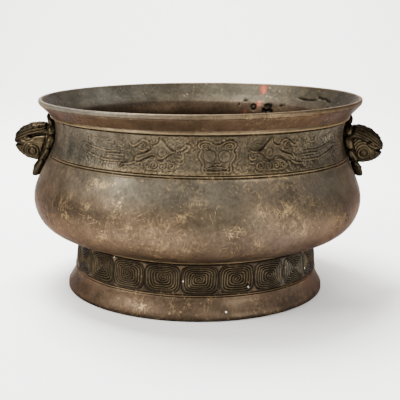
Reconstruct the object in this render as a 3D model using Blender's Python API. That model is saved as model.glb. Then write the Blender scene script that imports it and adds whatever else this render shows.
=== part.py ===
"""Cast bronze incense burner with a beast's head at each side.

The vessel is one hollow casting: a wide bowl with a round belly, a waisted neck and a flared rim, on a hollow
ring foot. The two handles are castings of their own that hug the neck and the shoulder. Metres, +Z up; the
origin is on the ground under the middle, the front looks along -Y and the handles are on the X axis.
"""

import math

import bmesh
import bpy
from mathutils.geometry import delaunay_2d_cdt

mm = 0.001
full_turn = 2 * math.pi
degree = math.pi / 180

# Radii of the vessel's outer skin
rim_radius = 150 * mm
moulding_radius = 138.8 * mm
flare_foot_radius = 139.8 * mm
neck_waist_radius = 134.2 * mm
belly_radius = 154.2 * mm
foot_wall_top_radius = 112.8 * mm
foot_wall_bottom_radius = 115.3 * mm
skirt_radius = 122 * mm

# How far the neck widens from its waist to its upper and its lower edge
neck_top_swell = 2.0 * mm
neck_bottom_swell = 4.6 * mm

# Heights, stacked from the ground to the rim
skirt_edge_rise = 4 * mm
skirt_rise = 15 * mm
foot_wall_rise = 30 * mm
belly_under_rise = 39 * mm
shoulder_rise = 40.8 * mm
neck_lower_rise = 20.2 * mm
neck_upper_rise = 12.6 * mm
moulding_rise = 4.2 * mm
flare_rise = 10.2 * mm
lip_rise = 4 * mm

# Curvature: the share of the under-belly's inward turn that is round, and the fullness of an eased slope
belly_roundness = 0.47
slope_fullness = 0.9
belly_tuck = 5.8 * mm

# Walls
bowl_wall = 4 * mm
lip_width = 3.2 * mm
floor_thickness = 4.6 * mm
floor_dish = 3.4 * mm
foot_wall = 4.1 * mm
foot_corner = 3 * mm

# Turned lines round the vessel
line_width = 0.9 * mm
line_depth = 0.6 * mm
fillet_swell = 0.5 * mm
edge_round = 0.8 * mm

# Squared spirals on the foot
tile_count = 22
tile_seam_angle = 2 * degree
tile_rib = 1.3 * mm
tile_margin = 1.2 * mm
tile_ring_count = 2
tile_relief = 0.9 * mm
tile_corner = 0.93

# Frieze on the neck: the mask's and the eyes' places are angles from the front
figure_relief = 0.9 * mm
ridge_relief = 0.8 * mm
figure_bevel = 0.7 * mm
mask_angle = 6.3 * degree
dragon_eye_angle = 18.8 * degree
figure_units_high = 32.8
mask_level_share = 0.80
dragon_eye_level_share = 0.92

# The casting is slightly out of true: it leans towards +X and its mouth rises towards +X
lean = 0.0169
lean_pivot = 141 * mm
mouth_tilt = 0.0154

# Handles
handle_gap = 0.3 * mm
ruff_centre_above_neck_bottom = 8.2 * mm
ruff_bulge = 1.03
ruff_half_width = 25.5 * mm
ruff_tongue = 9.5 * mm
ruff_lobes = 8
ruff_lobe_depth = 0.10
ruff_thickness = 7.4 * mm
ruff_edge_thickness = 4.2 * mm
ruff_recess_thickness = 5.4 * mm
head_reach = 32.3 * mm
head_centre_below_ruff = 1.3 * mm
head_half_height = 18 * mm
head_half_width = 16 * mm
head_straight = 9 * mm
head_end_power = 1.9
right_head_nod = 9 * degree
brow_ridge = 1.0 * mm
brow_ridge_pitch = 22.5 * degree
brow_hollow = 2.2 * mm
mouth_slit = 2.0 * mm

# Features on each side of the head, seen in profile: how far out from the ruff, how far above the head's
# middle, the radius and the height
head_features = {
    "ear": (3 * mm, 15 * mm, 3.4 * mm, 1.6 * mm),
    "eye": (18 * mm, 5.5 * mm, 2.8 * mm, 2.2 * mm),
    "nostril": (28 * mm, 3.5 * mm, 2.6 * mm, 1.6 * mm),
    "cheek": (11 * mm, -7.6 * mm, 3.2 * mm, 1.8 * mm),
    "chin": (24 * mm, -8 * mm, 3.4 * mm, 1.2 * mm),
}
cheek_ring = 6.6 * mm

# Mesh density
skin_columns = 48
inside_columns = 36
band_columns = 64
tile_columns = 3
handle_columns = 32

# Levels worked out from the heights
skirt_top = skirt_edge_rise + skirt_rise
belly_bottom = skirt_top + foot_wall_rise
belly_widest = belly_bottom + belly_under_rise
neck_bottom = belly_widest + shoulder_rise
neck_waist = neck_bottom + neck_lower_rise
neck_top = neck_waist + neck_upper_rise
flare_foot = neck_top + moulding_rise
lip_bottom = flare_foot + flare_rise
height = lip_bottom + lip_rise
neck_bottom_radius = neck_waist_radius + neck_bottom_swell
belly_under_turn = belly_radius - (foot_wall_top_radius - belly_tuck)
figure_unit = (neck_top - neck_bottom) / figure_units_high
handle_seat = handle_gap + fillet_swell
ruff_centre_level = neck_bottom + ruff_centre_above_neck_bottom
ruff_half_height = (neck_top - handle_gap - ruff_centre_level) / ruff_bulge
head_centre_level = ruff_centre_level - head_centre_below_ruff
head_tip = neck_waist_radius + handle_seat + ruff_thickness + head_reach


def eased(share):
    """A slope that starts level and ends steep: 0 at 0 and 1 at 1."""
    return share * share * (1 + slope_fullness - slope_fullness * share)


def under_belly(share):
    """Radius of the belly below its widest, where share is 0 at the widest and 1 at the bottom."""
    turn = belly_roundness * share ** 2 + (1 - belly_roundness) * share ** 6
    return belly_radius - belly_under_turn * turn


def skin_radius(level):
    """Radius of the outer skin between the under-belly and the rim, without lines or fillets."""
    if level < belly_widest:
        return under_belly((belly_widest - level) / belly_under_rise)
    if level < neck_bottom:
        share = (level - belly_widest) / shoulder_rise
        return belly_radius - (belly_radius - neck_bottom_radius) * eased(share)
    if level < neck_waist:
        return neck_waist_radius + neck_bottom_swell * ((neck_waist - level) / neck_lower_rise) ** 2
    if level < neck_top:
        return neck_waist_radius + neck_top_swell * ((level - neck_waist) / neck_upper_rise) ** 2
    if level < flare_foot:
        return moulding_radius
    share = min(1, (level - flare_foot) / flare_rise)
    return flare_foot_radius + (rim_radius - flare_foot_radius) * share


def foot_radius(level):
    """Radius of the foot's outer skin: a wall that widens downwards, then a flared skirt."""
    if level > skirt_top:
        share = (belly_bottom - level) / foot_wall_rise
        return foot_wall_top_radius + (foot_wall_bottom_radius - foot_wall_top_radius) * share
    share = min(1, (skirt_top - level) / skirt_rise)
    return foot_wall_bottom_radius + (skirt_radius - foot_wall_bottom_radius) * eased(share)


def belly_joint():
    """Level at which the under-belly meets the foot's wall, by halving the interval."""
    low, high = belly_bottom, belly_widest
    for _ in range(40):
        middle = (low + high) / 2
        if skin_radius(middle) < foot_wall_top_radius:
            low = middle
        else:
            high = middle
    return high


def inset(level, wall):
    """Point one wall inside the skin, square to it, as (radius, level)."""
    step = 0.1 * mm
    slope = (skin_radius(level + step) - skin_radius(level - step)) / (2 * step)
    length = math.hypot(1, slope)
    return skin_radius(level) - wall / length, level + wall * slope / length


def out_of_true(x, y, z):
    """The casting's lean, and the tilt of its mouth, which grows from the shoulder to the rim."""
    share = max(0, (z - neck_bottom) / (height - neck_bottom))
    return x + lean * (z - lean_pivot), y, z + mouth_tilt * x * min(1, share) ** 2


def on_ring(radius, angle, level):
    return out_of_true(radius * math.cos(angle), radius * math.sin(angle), level)


def ring(mesh, radius, level, count, start=0.0):
    """A level ring of points, as (angle, point) pairs in the order of their angles."""
    angles = [start + full_turn * k / count for k in range(count)]
    return [(angle, mesh.verts.new(on_ring(radius, angle, level))) for angle in angles]


def sew(mesh, lower, upper):
    """Fill between two rings, also of different counts, by always taking the nearer next point."""
    i = j = 0
    while i < len(lower) or j < len(upper):
        next_low = lower[(i + 1) % len(lower)][0] + full_turn * ((i + 1) // len(lower))
        next_up = upper[(j + 1) % len(upper)][0] + full_turn * ((j + 1) // len(upper))
        here = lower[i % len(lower)][1], upper[j % len(upper)][1]
        low_point = lower[(i + 1) % len(lower)][1]
        up_point = upper[(j + 1) % len(upper)][1]
        if i < len(lower) and j < len(upper) and abs(next_low - next_up) < 1e-6:
            mesh.faces.new((here[0], low_point, up_point, here[1]))
            i, j = i + 1, j + 1
        elif j == len(upper) or (i < len(lower) and next_low < next_up):
            mesh.faces.new((here[0], low_point, here[1]))
            i += 1
        else:
            mesh.faces.new((here[0], up_point, here[1]))
            j += 1


def sew_all(mesh, rings):
    for lower, upper in zip(rings, rings[1:]):
        sew(mesh, lower, upper)


def cap(mesh, closing, level):
    """Close a ring with a fan round a point on the axis."""
    fan(mesh, closing, mesh.verts.new(out_of_true(0, 0, level)))


def fan(mesh, closing, middle):
    points = [point for _, point in closing]
    for k, point in enumerate(points):
        mesh.faces.new((point, points[(k + 1) % len(points)], middle))


class Relief:
    """Low relief on an unrolled band: points (along, up, height) and the creases between them."""

    def __init__(self):
        self.points = []
        self.creases = []
        self.plates = []

    def add(self, place, raised):
        self.points.append((place[0], place[1], raised))
        return len(self.points) - 1

    def loop(self, outline, raised):
        first = len(self.points)
        for place in outline:
            self.add(place, raised)
        count = len(outline)
        self.creases += [(first + k, first + (k + 1) % count) for k in range(count)]

    def plate(self, outline, raised, base=0.0):
        """A flat raised figure with a bevelled edge."""
        self.loop(outline, base)
        top = drawn_in(outline, figure_bevel)
        self.loop(top, raised)
        self.plates.append((top, raised))

    def ridge(self, path, width, raised, base=0.0):
        """A raised line with a sharp crest, pointed at both ends."""
        ends = [self.add(path[0], base), self.add(path[-1], base)]
        inner = range(1, len(path) - 1)
        sides = []
        for offset in (-width / 2, 0, width / 2):
            places = [beside(path, k, offset) for k in inner]
            level = raised if offset == 0 else base
            sides.append([ends[0], *(self.add(p, level) for p in places), ends[1]])
        for side in sides:
            self.creases += list(zip(side, side[1:]))

    def boss(self, centre, radius, raised, base=0.0, corners=8):
        """A round eye: a ring with a dished middle and a pupil."""
        for share, level in ((1.0, base), (0.72, raised), (0.45, base + (raised - base) * 0.3)):
            self.loop(circle(centre, radius * share, corners), level)
        self.add(centre, raised)

    def raised_at(self, along, up):
        return max((raised for outline, raised in self.plates if inside(outline, along, up)), default=0.0)

    def crossing(self, along, up):
        """Height where two creases cross: the higher of the two there."""
        found = []
        for a, b in self.creases:
            start, end = self.points[a], self.points[b]
            if not far(start, end, along, up, 1e-6):
                length = math.dist(start[:2], end[:2])
                share = math.dist(start[:2], (along, up)) / length
                found.append(start[2] + (end[2] - start[2]) * share)
        return max(found, default=0.0)

    def clear(self, along, up, distance):
        return all(far(self.points[a], self.points[b], along, up, distance) for a, b in self.creases)


def circle(centre, radius, corners):
    turns = [full_turn * k / corners for k in range(corners)]
    return [(centre[0] + radius * math.cos(t), centre[1] + radius * math.sin(t)) for t in turns]


def beside(path, k, offset):
    """Point of a path moved sideways by offset, square to its direction there."""
    (ax, ay), (bx, by) = path[k - 1], path[k + 1]
    length = math.hypot(bx - ax, by - ay)
    return path[k][0] - offset * (by - ay) / length, path[k][1] + offset * (bx - ax) / length


def drawn_in(outline, distance):
    """The outline moved inwards by distance; the outline runs anticlockwise."""
    count = len(outline)
    moved = []
    for k, (x, y) in enumerate(outline):
        (ax, ay), (bx, by) = outline[k - 1], outline[(k + 1) % count]
        before = math.hypot(x - ax, y - ay)
        after = math.hypot(bx - x, by - y)
        across = -(y - ay) / before - (by - y) / after, (x - ax) / before + (bx - x) / after
        length = math.hypot(*across)
        reach = distance * min(1.6, 2 / length) / length
        moved.append((x + across[0] * reach, y + across[1] * reach))
    return moved


def inside(outline, along, up):
    crossings = 0
    for (ax, ay), (bx, by) in zip(outline, outline[1:] + outline[:1]):
        if (ay > up) != (by > up) and along < ax + (up - ay) * (bx - ax) / (by - ay):
            crossings += 1
    return crossings % 2 == 1


def far(start, end, along, up, distance):
    """Whether a place is farther than distance from the crease between two points."""
    dx, dy = end[0] - start[0], end[1] - start[1]
    share = ((along - start[0]) * dx + (up - start[1]) * dy) / (dx * dx + dy * dy)
    share = max(0, min(1, share))
    return math.hypot(start[0] + share * dx - along, start[1] + share * dy - up) > distance


def relief_band(mesh, radius_at, low, high, columns, rows, start, relief):
    """A band of the skin with its relief, as its lower and its upper ring."""
    unrolled = radius_at((low + high) / 2)
    length = full_turn * unrolled
    levels = [low + (high - low) * row / rows for row in range(rows + 1)]
    clearance = figure_bevel
    for row, level in enumerate(levels):
        edge = row in (0, rows)
        first = len(relief.points)
        for column in range(columns + 1):
            along = length * column / columns
            if edge or column in (0, columns) or relief.clear(along, level, clearance):
                relief.add((along, level), relief.raised_at(along, level))
        if edge:
            relief.creases += [(first + k, first + k + 1) for k in range(columns)]
    flat = [(along, up) for along, up, _ in relief.points]
    places, _, faces, sources, _, _ = delaunay_2d_cdt(flat, relief.creases, [], 0, 1e-7)
    points, rims = {}, {low: {}, high: {}}
    for index, (place, source) in enumerate(zip(places, sources)):
        along, up = flat[source[0]] if source else place
        raised = relief.points[source[0]][2] if source else relief.crossing(along, up)
        key = (round(along % length / mm, 3) % round(length / mm, 3), round(up / mm, 3))
        if key not in points:
            angle = start + along / unrolled
            points[key] = mesh.verts.new(on_ring(radius_at(up) + raised, angle, up))
            if up in rims:
                rims[up][angle] = points[key]
        points[index] = points[key]
    for face in faces:
        mesh.faces.new([points[index] for index in face])
    return [sorted(rims[level].items(), key=lambda pair: pair[0]) for level in (low, high)]


def tile(relief, middle, level, half_length, half_height):
    """A squared spiral cast as nested rounded rings, round its own middle."""
    steps = 2 * tile_ring_count + 1
    for step in range(steps):
        share = 1 - step / steps
        raised = tile_relief if step % 2 else 0.0
        side_x, side_y = half_length * share, half_height * share
        corner_x, corner_y = side_x * tile_corner, side_y * tile_corner
        right = [(corner_x, -corner_y), (side_x, 0), (corner_x, corner_y), (0, side_y)]
        outline = right + [(-x, -y) for x, y in right]
        relief.loop([(middle + x, level + y) for x, y in outline], raised)
    relief.add((middle, level), tile_relief)


def foot_relief(low, high):
    """The foot's row of squared spirals, with a plain rib between neighbours."""
    relief = Relief()
    length = full_turn * foot_radius((low + high) / 2)
    pitch = length / tile_count
    half_height = (high - low) / 2 - tile_margin
    for k in range(tile_count):
        tile(relief, pitch * (k + 0.5), (low + high) / 2, pitch / 2 - tile_rib, half_height)
    return relief


def placed(shape, side, origin):
    """A figure's points in figure units, mirrored by side and moved to origin on the unrolled band."""
    return [(origin[0] + side * x * figure_unit, origin[1] + y * figure_unit) for x, y in shape]


def plate_of(shape, side, origin):
    """As placed, for a closed outline, which has to stay anticlockwise when it is mirrored."""
    points = placed(shape, side, origin)
    return points if side > 0 else points[::-1]


def add_mask(relief, origin):
    """A beast mask seen from the front: curled horns, round eyes, a small nose and a flat jaw."""
    half = [(0, -13.3), (9.8, -13), (12.3, -10), (12.6, -5.5), (15, -0.5), (13.2, 4.6)]
    half += [(15.7, 8.5), (13.6, 11.9), (8, 12.6), (3.6, 10.8)]
    outline = half + [(0, 9.3)] + [(-x, y) for x, y in reversed(half[1:])]
    relief.plate(plate_of(outline, 1, origin), figure_relief)
    top = figure_relief + ridge_relief
    for side in (1, -1):
        relief.boss(placed([(6, 0.2)], side, origin)[0], 4.6 * figure_unit, top, figure_relief)
        horn = [(5.4, 7), (7, 9.6), (10.2, 10.2), (12.6, 8.2), (10.8, 6.2)]
        relief.ridge(placed(horn, side, origin), 1.7 * figure_unit, top, figure_relief)
    jaw = [(-10, -8.6), (-7.6, -11), (0, -11.4), (7.6, -11), (10, -8.6)]
    nose = [(-3.8, -4.8), (-1.8, -7), (1.8, -7), (3.8, -4.8)]
    for path in (jaw, nose):
        relief.ridge(placed(path, 1, origin), 1.6 * figure_unit, top, figure_relief)


def add_dragon(relief, origin, side):
    """A running dragon in profile, with its snout to the mask, cloud scrolls under it and a long tail."""
    head = [(-10, 0.4), (-5.8, -1.7), (-1, -5.4), (2.8, -5.8), (7, -3.3), (11.4, -3.4), (16.1, -6.2)]
    head += [(19.6, -8), (23.6, -7.6), (22.6, -4), (13, -0.5), (9.6, 2.6), (10.6, 5.6), (7.4, 5.2)]
    head += [(3.8, 7.5), (1.8, 11.4), (-3.2, 5.8)]
    cloud = [(17.6, -11.4), (16, -8.6), (12, -6.2), (7.4, -5.8), (2.6, -8.2), (-2.8, -7.8), (-7.6, -7.4)]
    cloud += [(-11.4, -9.8), (-11.2, -12.8), (-6.6, -14.6), (0.8, -14.8), (8, -15), (14.2, -14)]
    tail = [(25, -8.6), (34, -9.6), (50, -9.2), (66, -7), (81, -3), (80, 1.6), (66, -1.6), (50, -2.4)]
    tail += [(34, -2.2), (26.4, -4.4)]
    for outline in (head, cloud, tail):
        relief.plate(plate_of(outline, side, origin), figure_relief)
    top = figure_relief + ridge_relief
    relief.boss(placed([(0.2, 0)], side, origin)[0], 3.9 * figure_unit, top, figure_relief)
    scrolls = [
        [(-8.8, -10), (-6.4, -12.8), (-3, -12.2), (-3.4, -10)],
        [(1, -10.4), (2.6, -13), (6.4, -12.8), (7, -9.4)],
        [(10, -12.2), (13.2, -12), (12.6, -8.4)],
    ]
    for path in scrolls:
        relief.ridge(placed(path, side, origin), 1.5 * figure_unit, top, figure_relief)
    hair = [(13, 6.2), (16.6, 9.2), (20.2, 7.2), (23.6, 4.2), (27, 4.2), (28.8, 6.4)]
    curl = [(-12.4, 1.6), (-16, 2.8), (-18.2, 5.6), (-20.6, 6.2), (-21.4, 3.4), (-19, 1)]
    whisker = [(21.4, -10.4), (26.4, -12), (31, -12.8), (34.6, -14.6)]
    for path in (hair, curl, whisker):
        relief.ridge(placed(path, side, origin), 2.2 * figure_unit, ridge_relief)


def neck_relief(low, high):
    """The frieze: a mask between two running dragons on the front, and the same again on the back."""
    relief = Relief()
    unrolled = skin_radius((low + high) / 2)
    mask_level = neck_bottom + mask_level_share * neck_lower_rise
    eye_level = neck_bottom + dragon_eye_level_share * neck_lower_rise
    for half_turn in (0.75, 0.25):
        middle = (full_turn * half_turn + mask_angle) * unrolled
        add_mask(relief, (middle, mask_level))
        for side in (1, -1):
            eye = middle + side * dragon_eye_angle * unrolled
            add_dragon(relief, (eye, eye_level), side)
    return relief


def turned_line(mesh, radius_at, level, columns):
    """The bottom of one thin turned line."""
    return ring(mesh, radius_at(level) - line_depth, level, columns)


def build_vessel():
    """The bowl, its rim and its foot, as one closed skin from the floor inside to the hollow under it."""
    mesh = bmesh.new()

    def outer(radius, level):
        return ring(mesh, radius, level, skin_columns)

    def line(radius_at, level):
        return turned_line(mesh, radius_at, level, skin_columns)

    joint = belly_joint()
    line_pitch = 2 * line_width
    foot_band_low = skirt_top + 2 * line_pitch
    foot_band_high = belly_bottom - line_pitch
    neck_band_low = neck_bottom + line_width
    neck_band_high = neck_top - line_width / 2
    foot_band = relief_band(
        mesh, foot_radius, foot_band_low, foot_band_high, tile_count * tile_columns, 1, tile_seam_angle,
        foot_relief(foot_band_low, foot_band_high),
    )
    neck_band = relief_band(
        mesh, skin_radius, neck_band_low, neck_band_high, band_columns, 4, 0.0,
        neck_relief(neck_band_low, neck_band_high),
    )
    skirt_levels = [skirt_edge_rise + skirt_rise * share for share in (0, 0.5, 1)]
    border = skirt_top + line_pitch
    foot_rings = [
        outer(skirt_radius - edge_round, 0),
        outer(skirt_radius, edge_round),
        *(outer(foot_radius(level), level) for level in skirt_levels),
        line(foot_radius, border - line_width),
        outer(foot_radius(border) + fillet_swell, border),
        line(foot_radius, border + line_width),
        foot_band[0],
    ]

    shares = [math.cos(degree * angle) for angle in (24, 34, 45, 58, 74)]
    fillet = neck_bottom - line_width
    shoulder_top = fillet - 2 * line_width
    levels = [belly_widest + (shoulder_top - belly_widest) * share for share in (0, 0.34, 0.68, 1)]
    belly_rings = [
        foot_band[1],
        line(foot_radius, foot_band_high + line_width),
        outer(foot_wall_top_radius, joint),
        *(outer(under_belly(share), belly_widest - belly_under_rise * share) for share in shares),
        *(outer(skin_radius(level), level) for level in levels),
        line(skin_radius, fillet - line_width),
        outer(skin_radius(fillet) + fillet_swell, fillet),
        line(skin_radius, neck_bottom),
        neck_band[0],
    ]

    def inner(radius, level):
        return ring(mesh, radius, level, inside_columns)

    floor_level = belly_bottom + floor_thickness - floor_dish
    floor_radius = foot_wall_top_radius - bowl_wall
    neck_levels = (lip_bottom - 0.7 * flare_rise, neck_top - line_width, neck_waist)
    rim_rings = [
        neck_band[1],
        line(skin_radius, neck_top - line_width / 8),
        *(outer(moulding_radius, neck_top + moulding_rise * share) for share in (0.3, 0.75)),
        *(outer(skin_radius(flare_foot + flare_rise * share), flare_foot + flare_rise * share)
          for share in (0.02, 1)),
        outer(rim_radius, height - edge_round),
        outer(rim_radius - edge_round, height),
        inner(rim_radius - lip_width, height),
        *(inner(skin_radius(level) - bowl_wall, level) for level in neck_levels),
        *(inner(*inset(belly_widest + shoulder_rise * share, bowl_wall)) for share in (1, 0.62, 0.3, 0)),
        *(inner(*inset(belly_widest - belly_under_rise * share, bowl_wall)) for share in shares[:0:-1]),
        inner(floor_radius, floor_level + floor_dish),
        inner(floor_radius * 0.7, floor_level + floor_dish / 3),
    ]
    cap(mesh, rim_rings[-1], floor_level)

    under_level = floor_level - floor_thickness
    wall_levels = (skirt_edge_rise + skirt_rise / 2, skirt_top, under_level - foot_corner)
    under_rings = [
        foot_rings[0],
        inner(skirt_radius - foot_wall - edge_round, 0),
        *(inner(foot_radius(level) - foot_wall, level) for level in wall_levels),
        inner(foot_wall_top_radius - foot_wall - foot_corner, under_level),
    ]
    cap(mesh, under_rings[-1], under_level)
    for rings in (foot_rings, belly_rings, rim_rings, under_rings):
        sew_all(mesh, rings)
    return finished("vessel", mesh)


def lobe(angle):
    """1 at the tip of each leaf of the ruff and 0 between two leaves."""
    return abs(math.cos(ruff_lobes / 2 * angle))


def ruff_edge(angle):
    """The ruff's outline from its middle, as (across, up): an ellipse of leaves with a tongue below."""
    reach = 1 - ruff_lobe_depth * (1 - lobe(angle))
    below = abs((angle / degree + 90 + 180) % 360 - 180)
    tongue = ruff_tongue * max(0, 1 - (below / 22.5) ** 2)
    return ruff_half_width * reach * math.cos(angle), (ruff_half_height * reach + tongue) * math.sin(angle)


def on_skin(across, level, raised):
    """A point of a handle's own frame, (outwards, across, up), that stands off the neck or the shoulder."""
    radius = skin_radius(level)
    angle = across / radius
    return (radius + raised) * math.cos(angle), (radius + raised) * math.sin(angle), level


def head_size(outwards, base):
    """The head's girth as a share: full near the ruff, closing round the nose."""
    start = base + head_straight
    share = max(0, min(1, (outwards - start) / (head_tip - start)))
    return (1 - share ** head_end_power) ** 0.5


def head_relief(angle, outwards, level):
    """Brow ridges along the top, a hollow under them, features on the sides and a slit for the mouth."""
    reach, up = outwards - neck_waist_radius - ruff_thickness, level - head_centre_level
    above = math.asin(math.sin(angle))
    relief = brow_ridge * math.cos(full_turn * (above - full_turn / 4) / brow_ridge_pitch)
    relief *= 1 if above > 1.7 * brow_ridge_pitch else 0.15
    relief -= brow_hollow * bump((above - 1.5 * brow_ridge_pitch) / (0.4 * brow_ridge_pitch))
    for out, lift, radius, raised in head_features.values():
        relief += raised * bump(math.hypot(reach - out, up - lift) / radius)
    out, lift, radius, raised = head_features["cheek"]
    ring_distance = math.hypot(reach - out, up - lift) - cheek_ring
    relief += raised / 2 * bump(ring_distance / (radius / 2))
    slit = bump((up + 0.08 * head_half_height) / (0.09 * head_half_height))
    return relief - mouth_slit * slit * max(0, min(1, (reach - 0.6 * head_reach) / (0.2 * head_reach)))


def bump(distance):
    """A soft bump: 1 in its middle, a third at distance 1 and next to nothing at 2."""
    return math.exp(-distance * distance)


def build_handle(name, side, nod):
    """One handle: its back hugs the skin, the ruff stands on it and the head grows out of the ruff."""
    mesh = bmesh.new()
    angles = [full_turn * k / handle_columns for k in range(handle_columns)]

    def corner(outwards, across, up):
        return mesh.verts.new(out_of_true(side * outwards, across, up))

    def ruff_ring(share, thickness):
        points = []
        for angle in angles:
            across, up = ruff_edge(angle)
            raised = handle_seat + thickness(angle)
            points.append((angle, corner(*on_skin(across * share, ruff_centre_level + up * share, raised))))
        return points

    def head_ring(share):
        points = []
        for angle in angles:
            up = head_half_height * math.sin(angle)
            across = head_half_width * math.cos(angle)
            base = on_skin(across, head_centre_level + up, handle_seat + ruff_recess_thickness)
            outwards = base[0] + (head_tip - base[0]) * share
            size = head_size(outwards, neck_waist_radius + ruff_thickness)
            level = head_centre_level + up * size
            swell = head_relief(angle, outwards, level) * min(1, 5 * share) * min(1, 5 * (1 - share))
            girth = size + swell / head_half_height
            dropped = nodded(outwards, head_centre_level + up * girth, nod)
            points.append((angle, corner(dropped[0], across * girth, dropped[1])))
        return points

    back = [ruff_ring(share, lambda angle: 0.0) for share in (0.3, 0.56, 0.8, 1.0)]
    edge = ruff_ring(ruff_bulge, lambda angle: ruff_edge_thickness * (0.5 + 0.2 * lobe(angle)))
    crown = ruff_ring(0.9, lambda angle: ruff_thickness * (0.8 + 0.2 * lobe(angle)))
    inner = ruff_ring(0.74, lambda angle: ruff_recess_thickness)
    heads = [head_ring(share) for share in (0.06, 0.2, 0.35, 0.5, 0.64, 0.76, 0.86, 0.94)]
    rings = [*back, edge, crown, inner, *heads]
    sew_all(mesh, rings)
    nose = nodded(head_tip, head_centre_level, nod)
    fan(mesh, rings[0], corner(*on_skin(0, ruff_centre_level, handle_seat)))
    fan(mesh, rings[-1], corner(nose[0], 0, nose[1]))
    return finished(name, mesh)


def nodded(outwards, level, nod):
    """The head's nod: a turn round its root, seen from the side, as (outwards, level)."""
    root = neck_waist_radius + ruff_thickness
    reach, up = outwards - root, level - head_centre_level
    return root + reach * math.cos(nod) + up * math.sin(nod), (
        head_centre_level + up * math.cos(nod) - reach * math.sin(nod))


def bronze(name, colour, roughness):
    """Cast bronze with a brown patina; the colour is linear."""
    material = bpy.data.materials.new(name)
    material.use_nodes = True
    shader = material.node_tree.nodes["Principled BSDF"]
    shader.inputs["Base Color"].default_value = (*colour, 1)
    shader.inputs["Metallic"].default_value = 0.7
    shader.inputs["Roughness"].default_value = roughness
    return material


def finished(name, mesh):
    """Turn the faces outwards, round the shading except at sharp edges and link the object."""
    bmesh.ops.recalc_face_normals(mesh, faces=mesh.faces)
    data = bpy.data.meshes.new(name)
    mesh.to_mesh(data)
    mesh.free()
    data.shade_smooth()
    data.set_sharp_from_angle(angle=35 * degree)
    item = bpy.data.objects.new(name, data)
    bpy.context.scene.collection.objects.link(item)
    return item


def main():
    for item in list(bpy.data.objects):
        bpy.data.objects.remove(item)
    vessel = build_vessel()
    vessel.data.materials.append(bronze("brown_bronze", (0.11, 0.085, 0.06), 0.5))
    dark = bronze("dark_bronze", (0.06, 0.05, 0.03), 0.45)
    for item in (build_handle("left_handle", -1, 0.0), build_handle("right_handle", 1, right_head_nod)):
        item.data.materials.append(dark)


main()
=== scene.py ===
# %% [markdown]
# A bronze incense burner: one hollow casting with a beast's head at each side.
#
# The solids give the true sizes. This lesson dresses them: each piece is a surface worked out with numpy on a
# grid of points, and each finish is a node material. Sizes are in millimetres until a mesh is made.

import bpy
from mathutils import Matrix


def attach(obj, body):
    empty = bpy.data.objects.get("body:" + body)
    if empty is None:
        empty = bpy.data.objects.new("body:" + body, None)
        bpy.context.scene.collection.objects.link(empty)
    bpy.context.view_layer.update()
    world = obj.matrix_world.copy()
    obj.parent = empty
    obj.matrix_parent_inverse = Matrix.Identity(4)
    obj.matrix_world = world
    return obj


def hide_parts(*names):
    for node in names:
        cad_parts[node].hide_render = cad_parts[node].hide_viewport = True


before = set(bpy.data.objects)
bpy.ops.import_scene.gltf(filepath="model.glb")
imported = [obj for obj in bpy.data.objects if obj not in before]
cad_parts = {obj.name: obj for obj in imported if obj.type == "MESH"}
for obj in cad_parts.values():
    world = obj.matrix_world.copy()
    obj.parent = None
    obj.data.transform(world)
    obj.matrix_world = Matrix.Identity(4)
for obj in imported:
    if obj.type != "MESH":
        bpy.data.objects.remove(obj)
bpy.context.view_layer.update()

# %% Tools of the lesson
import math
from functools import partial

import bpy
import numpy as np
from mathutils import Matrix, Vector

mm = 0.001
full_turn = 2 * np.pi
degree = np.pi / 180
print("numpy", np.__version__)

# %% [markdown]
# The camera stands a little above the rim and looks down at the front. A photograph of a vessel is usually
# taken with a long lens from about a metre, and this one is also turned by less than a degree, so the camera's
# own axes are worked out from the pitch and the turn and then put into its matrix.

# %% Camera
camera_lens = 81.63
camera_sensor = 36
camera_place = Vector((1.56, -852.0, 264.2)) * mm
camera_pitch = 12.19 * degree
camera_turn = 0.775 * degree


def in_scene(name, data):
    """A new object at the origin of the scene, from a mesh, a lamp or a camera."""
    made = bpy.data.objects.new(name, data)
    bpy.context.scene.collection.objects.link(made)
    return made


def make_camera():
    """Right and up are the level axes pitched down and then turned by the small angle between them."""
    level_right = Vector((1, 0, 0))
    level_up = Vector((0, math.sin(camera_pitch), math.cos(camera_pitch)))
    backwards = Vector((0, -math.cos(camera_pitch), math.sin(camera_pitch)))
    right = level_right * math.cos(camera_turn) + level_up * math.sin(camera_turn)
    up = level_up * math.cos(camera_turn) - level_right * math.sin(camera_turn)
    axes = Matrix((right, up, backwards)).transposed().to_4x4()
    data = bpy.data.cameras.new("camera")
    data.lens = camera_lens
    data.sensor_width = camera_sensor
    camera = in_scene("camera", data)
    camera.matrix_world = Matrix.Translation(camera_place) @ axes
    bpy.context.scene.camera = camera
    return camera


camera = make_camera()
print("camera", [round(c, 3) for c in camera.matrix_world.translation])

# %% [markdown]
# A turned vessel is a profile carried round an axis. The profile here is a few eased curves between the radii
# that can be measured: rim, neck, belly and foot. The same values made the solids, so both agree.

# %% Radii and levels of the casting
rim_radius = 150.0
moulding_radius = 138.8
flare_foot_radius = 139.8
neck_waist_radius = 134.2
neck_top_radius = 136.2
neck_bottom_radius = 138.8
belly_radius = 154.2
belly_foot_radius = 107.0
foot_top_radius = 112.8
foot_bottom_radius = 115.3
skirt_radius = 122.0

skirt_edge = 4.0
skirt_top = 19.0
foot_band_low = 22.6
foot_band_high = 47.2
belly_bottom = 49.0
belly_widest = 88.0
neck_bottom = 128.8
frieze_low = 129.7
frieze_high = 161.15
neck_waist = 149.0
neck_top = 161.6
flare_foot = 165.8
lip_bottom = 176.0
height = 180.0

wall = 4.0
channel_depth = 1.5
moulding_step = 1.2


def part_way(value, start, end):
    """How far a value is on its way from start to end, as a share from 0 to 1."""
    return np.clip((value - start) / (end - start), 0, 1)


def eased(share):
    """A slope that starts level and ends steep: share squared, times 1.9 less 0.9 of the share."""
    return share ** 2 * (1.9 - 0.9 * share)


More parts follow.
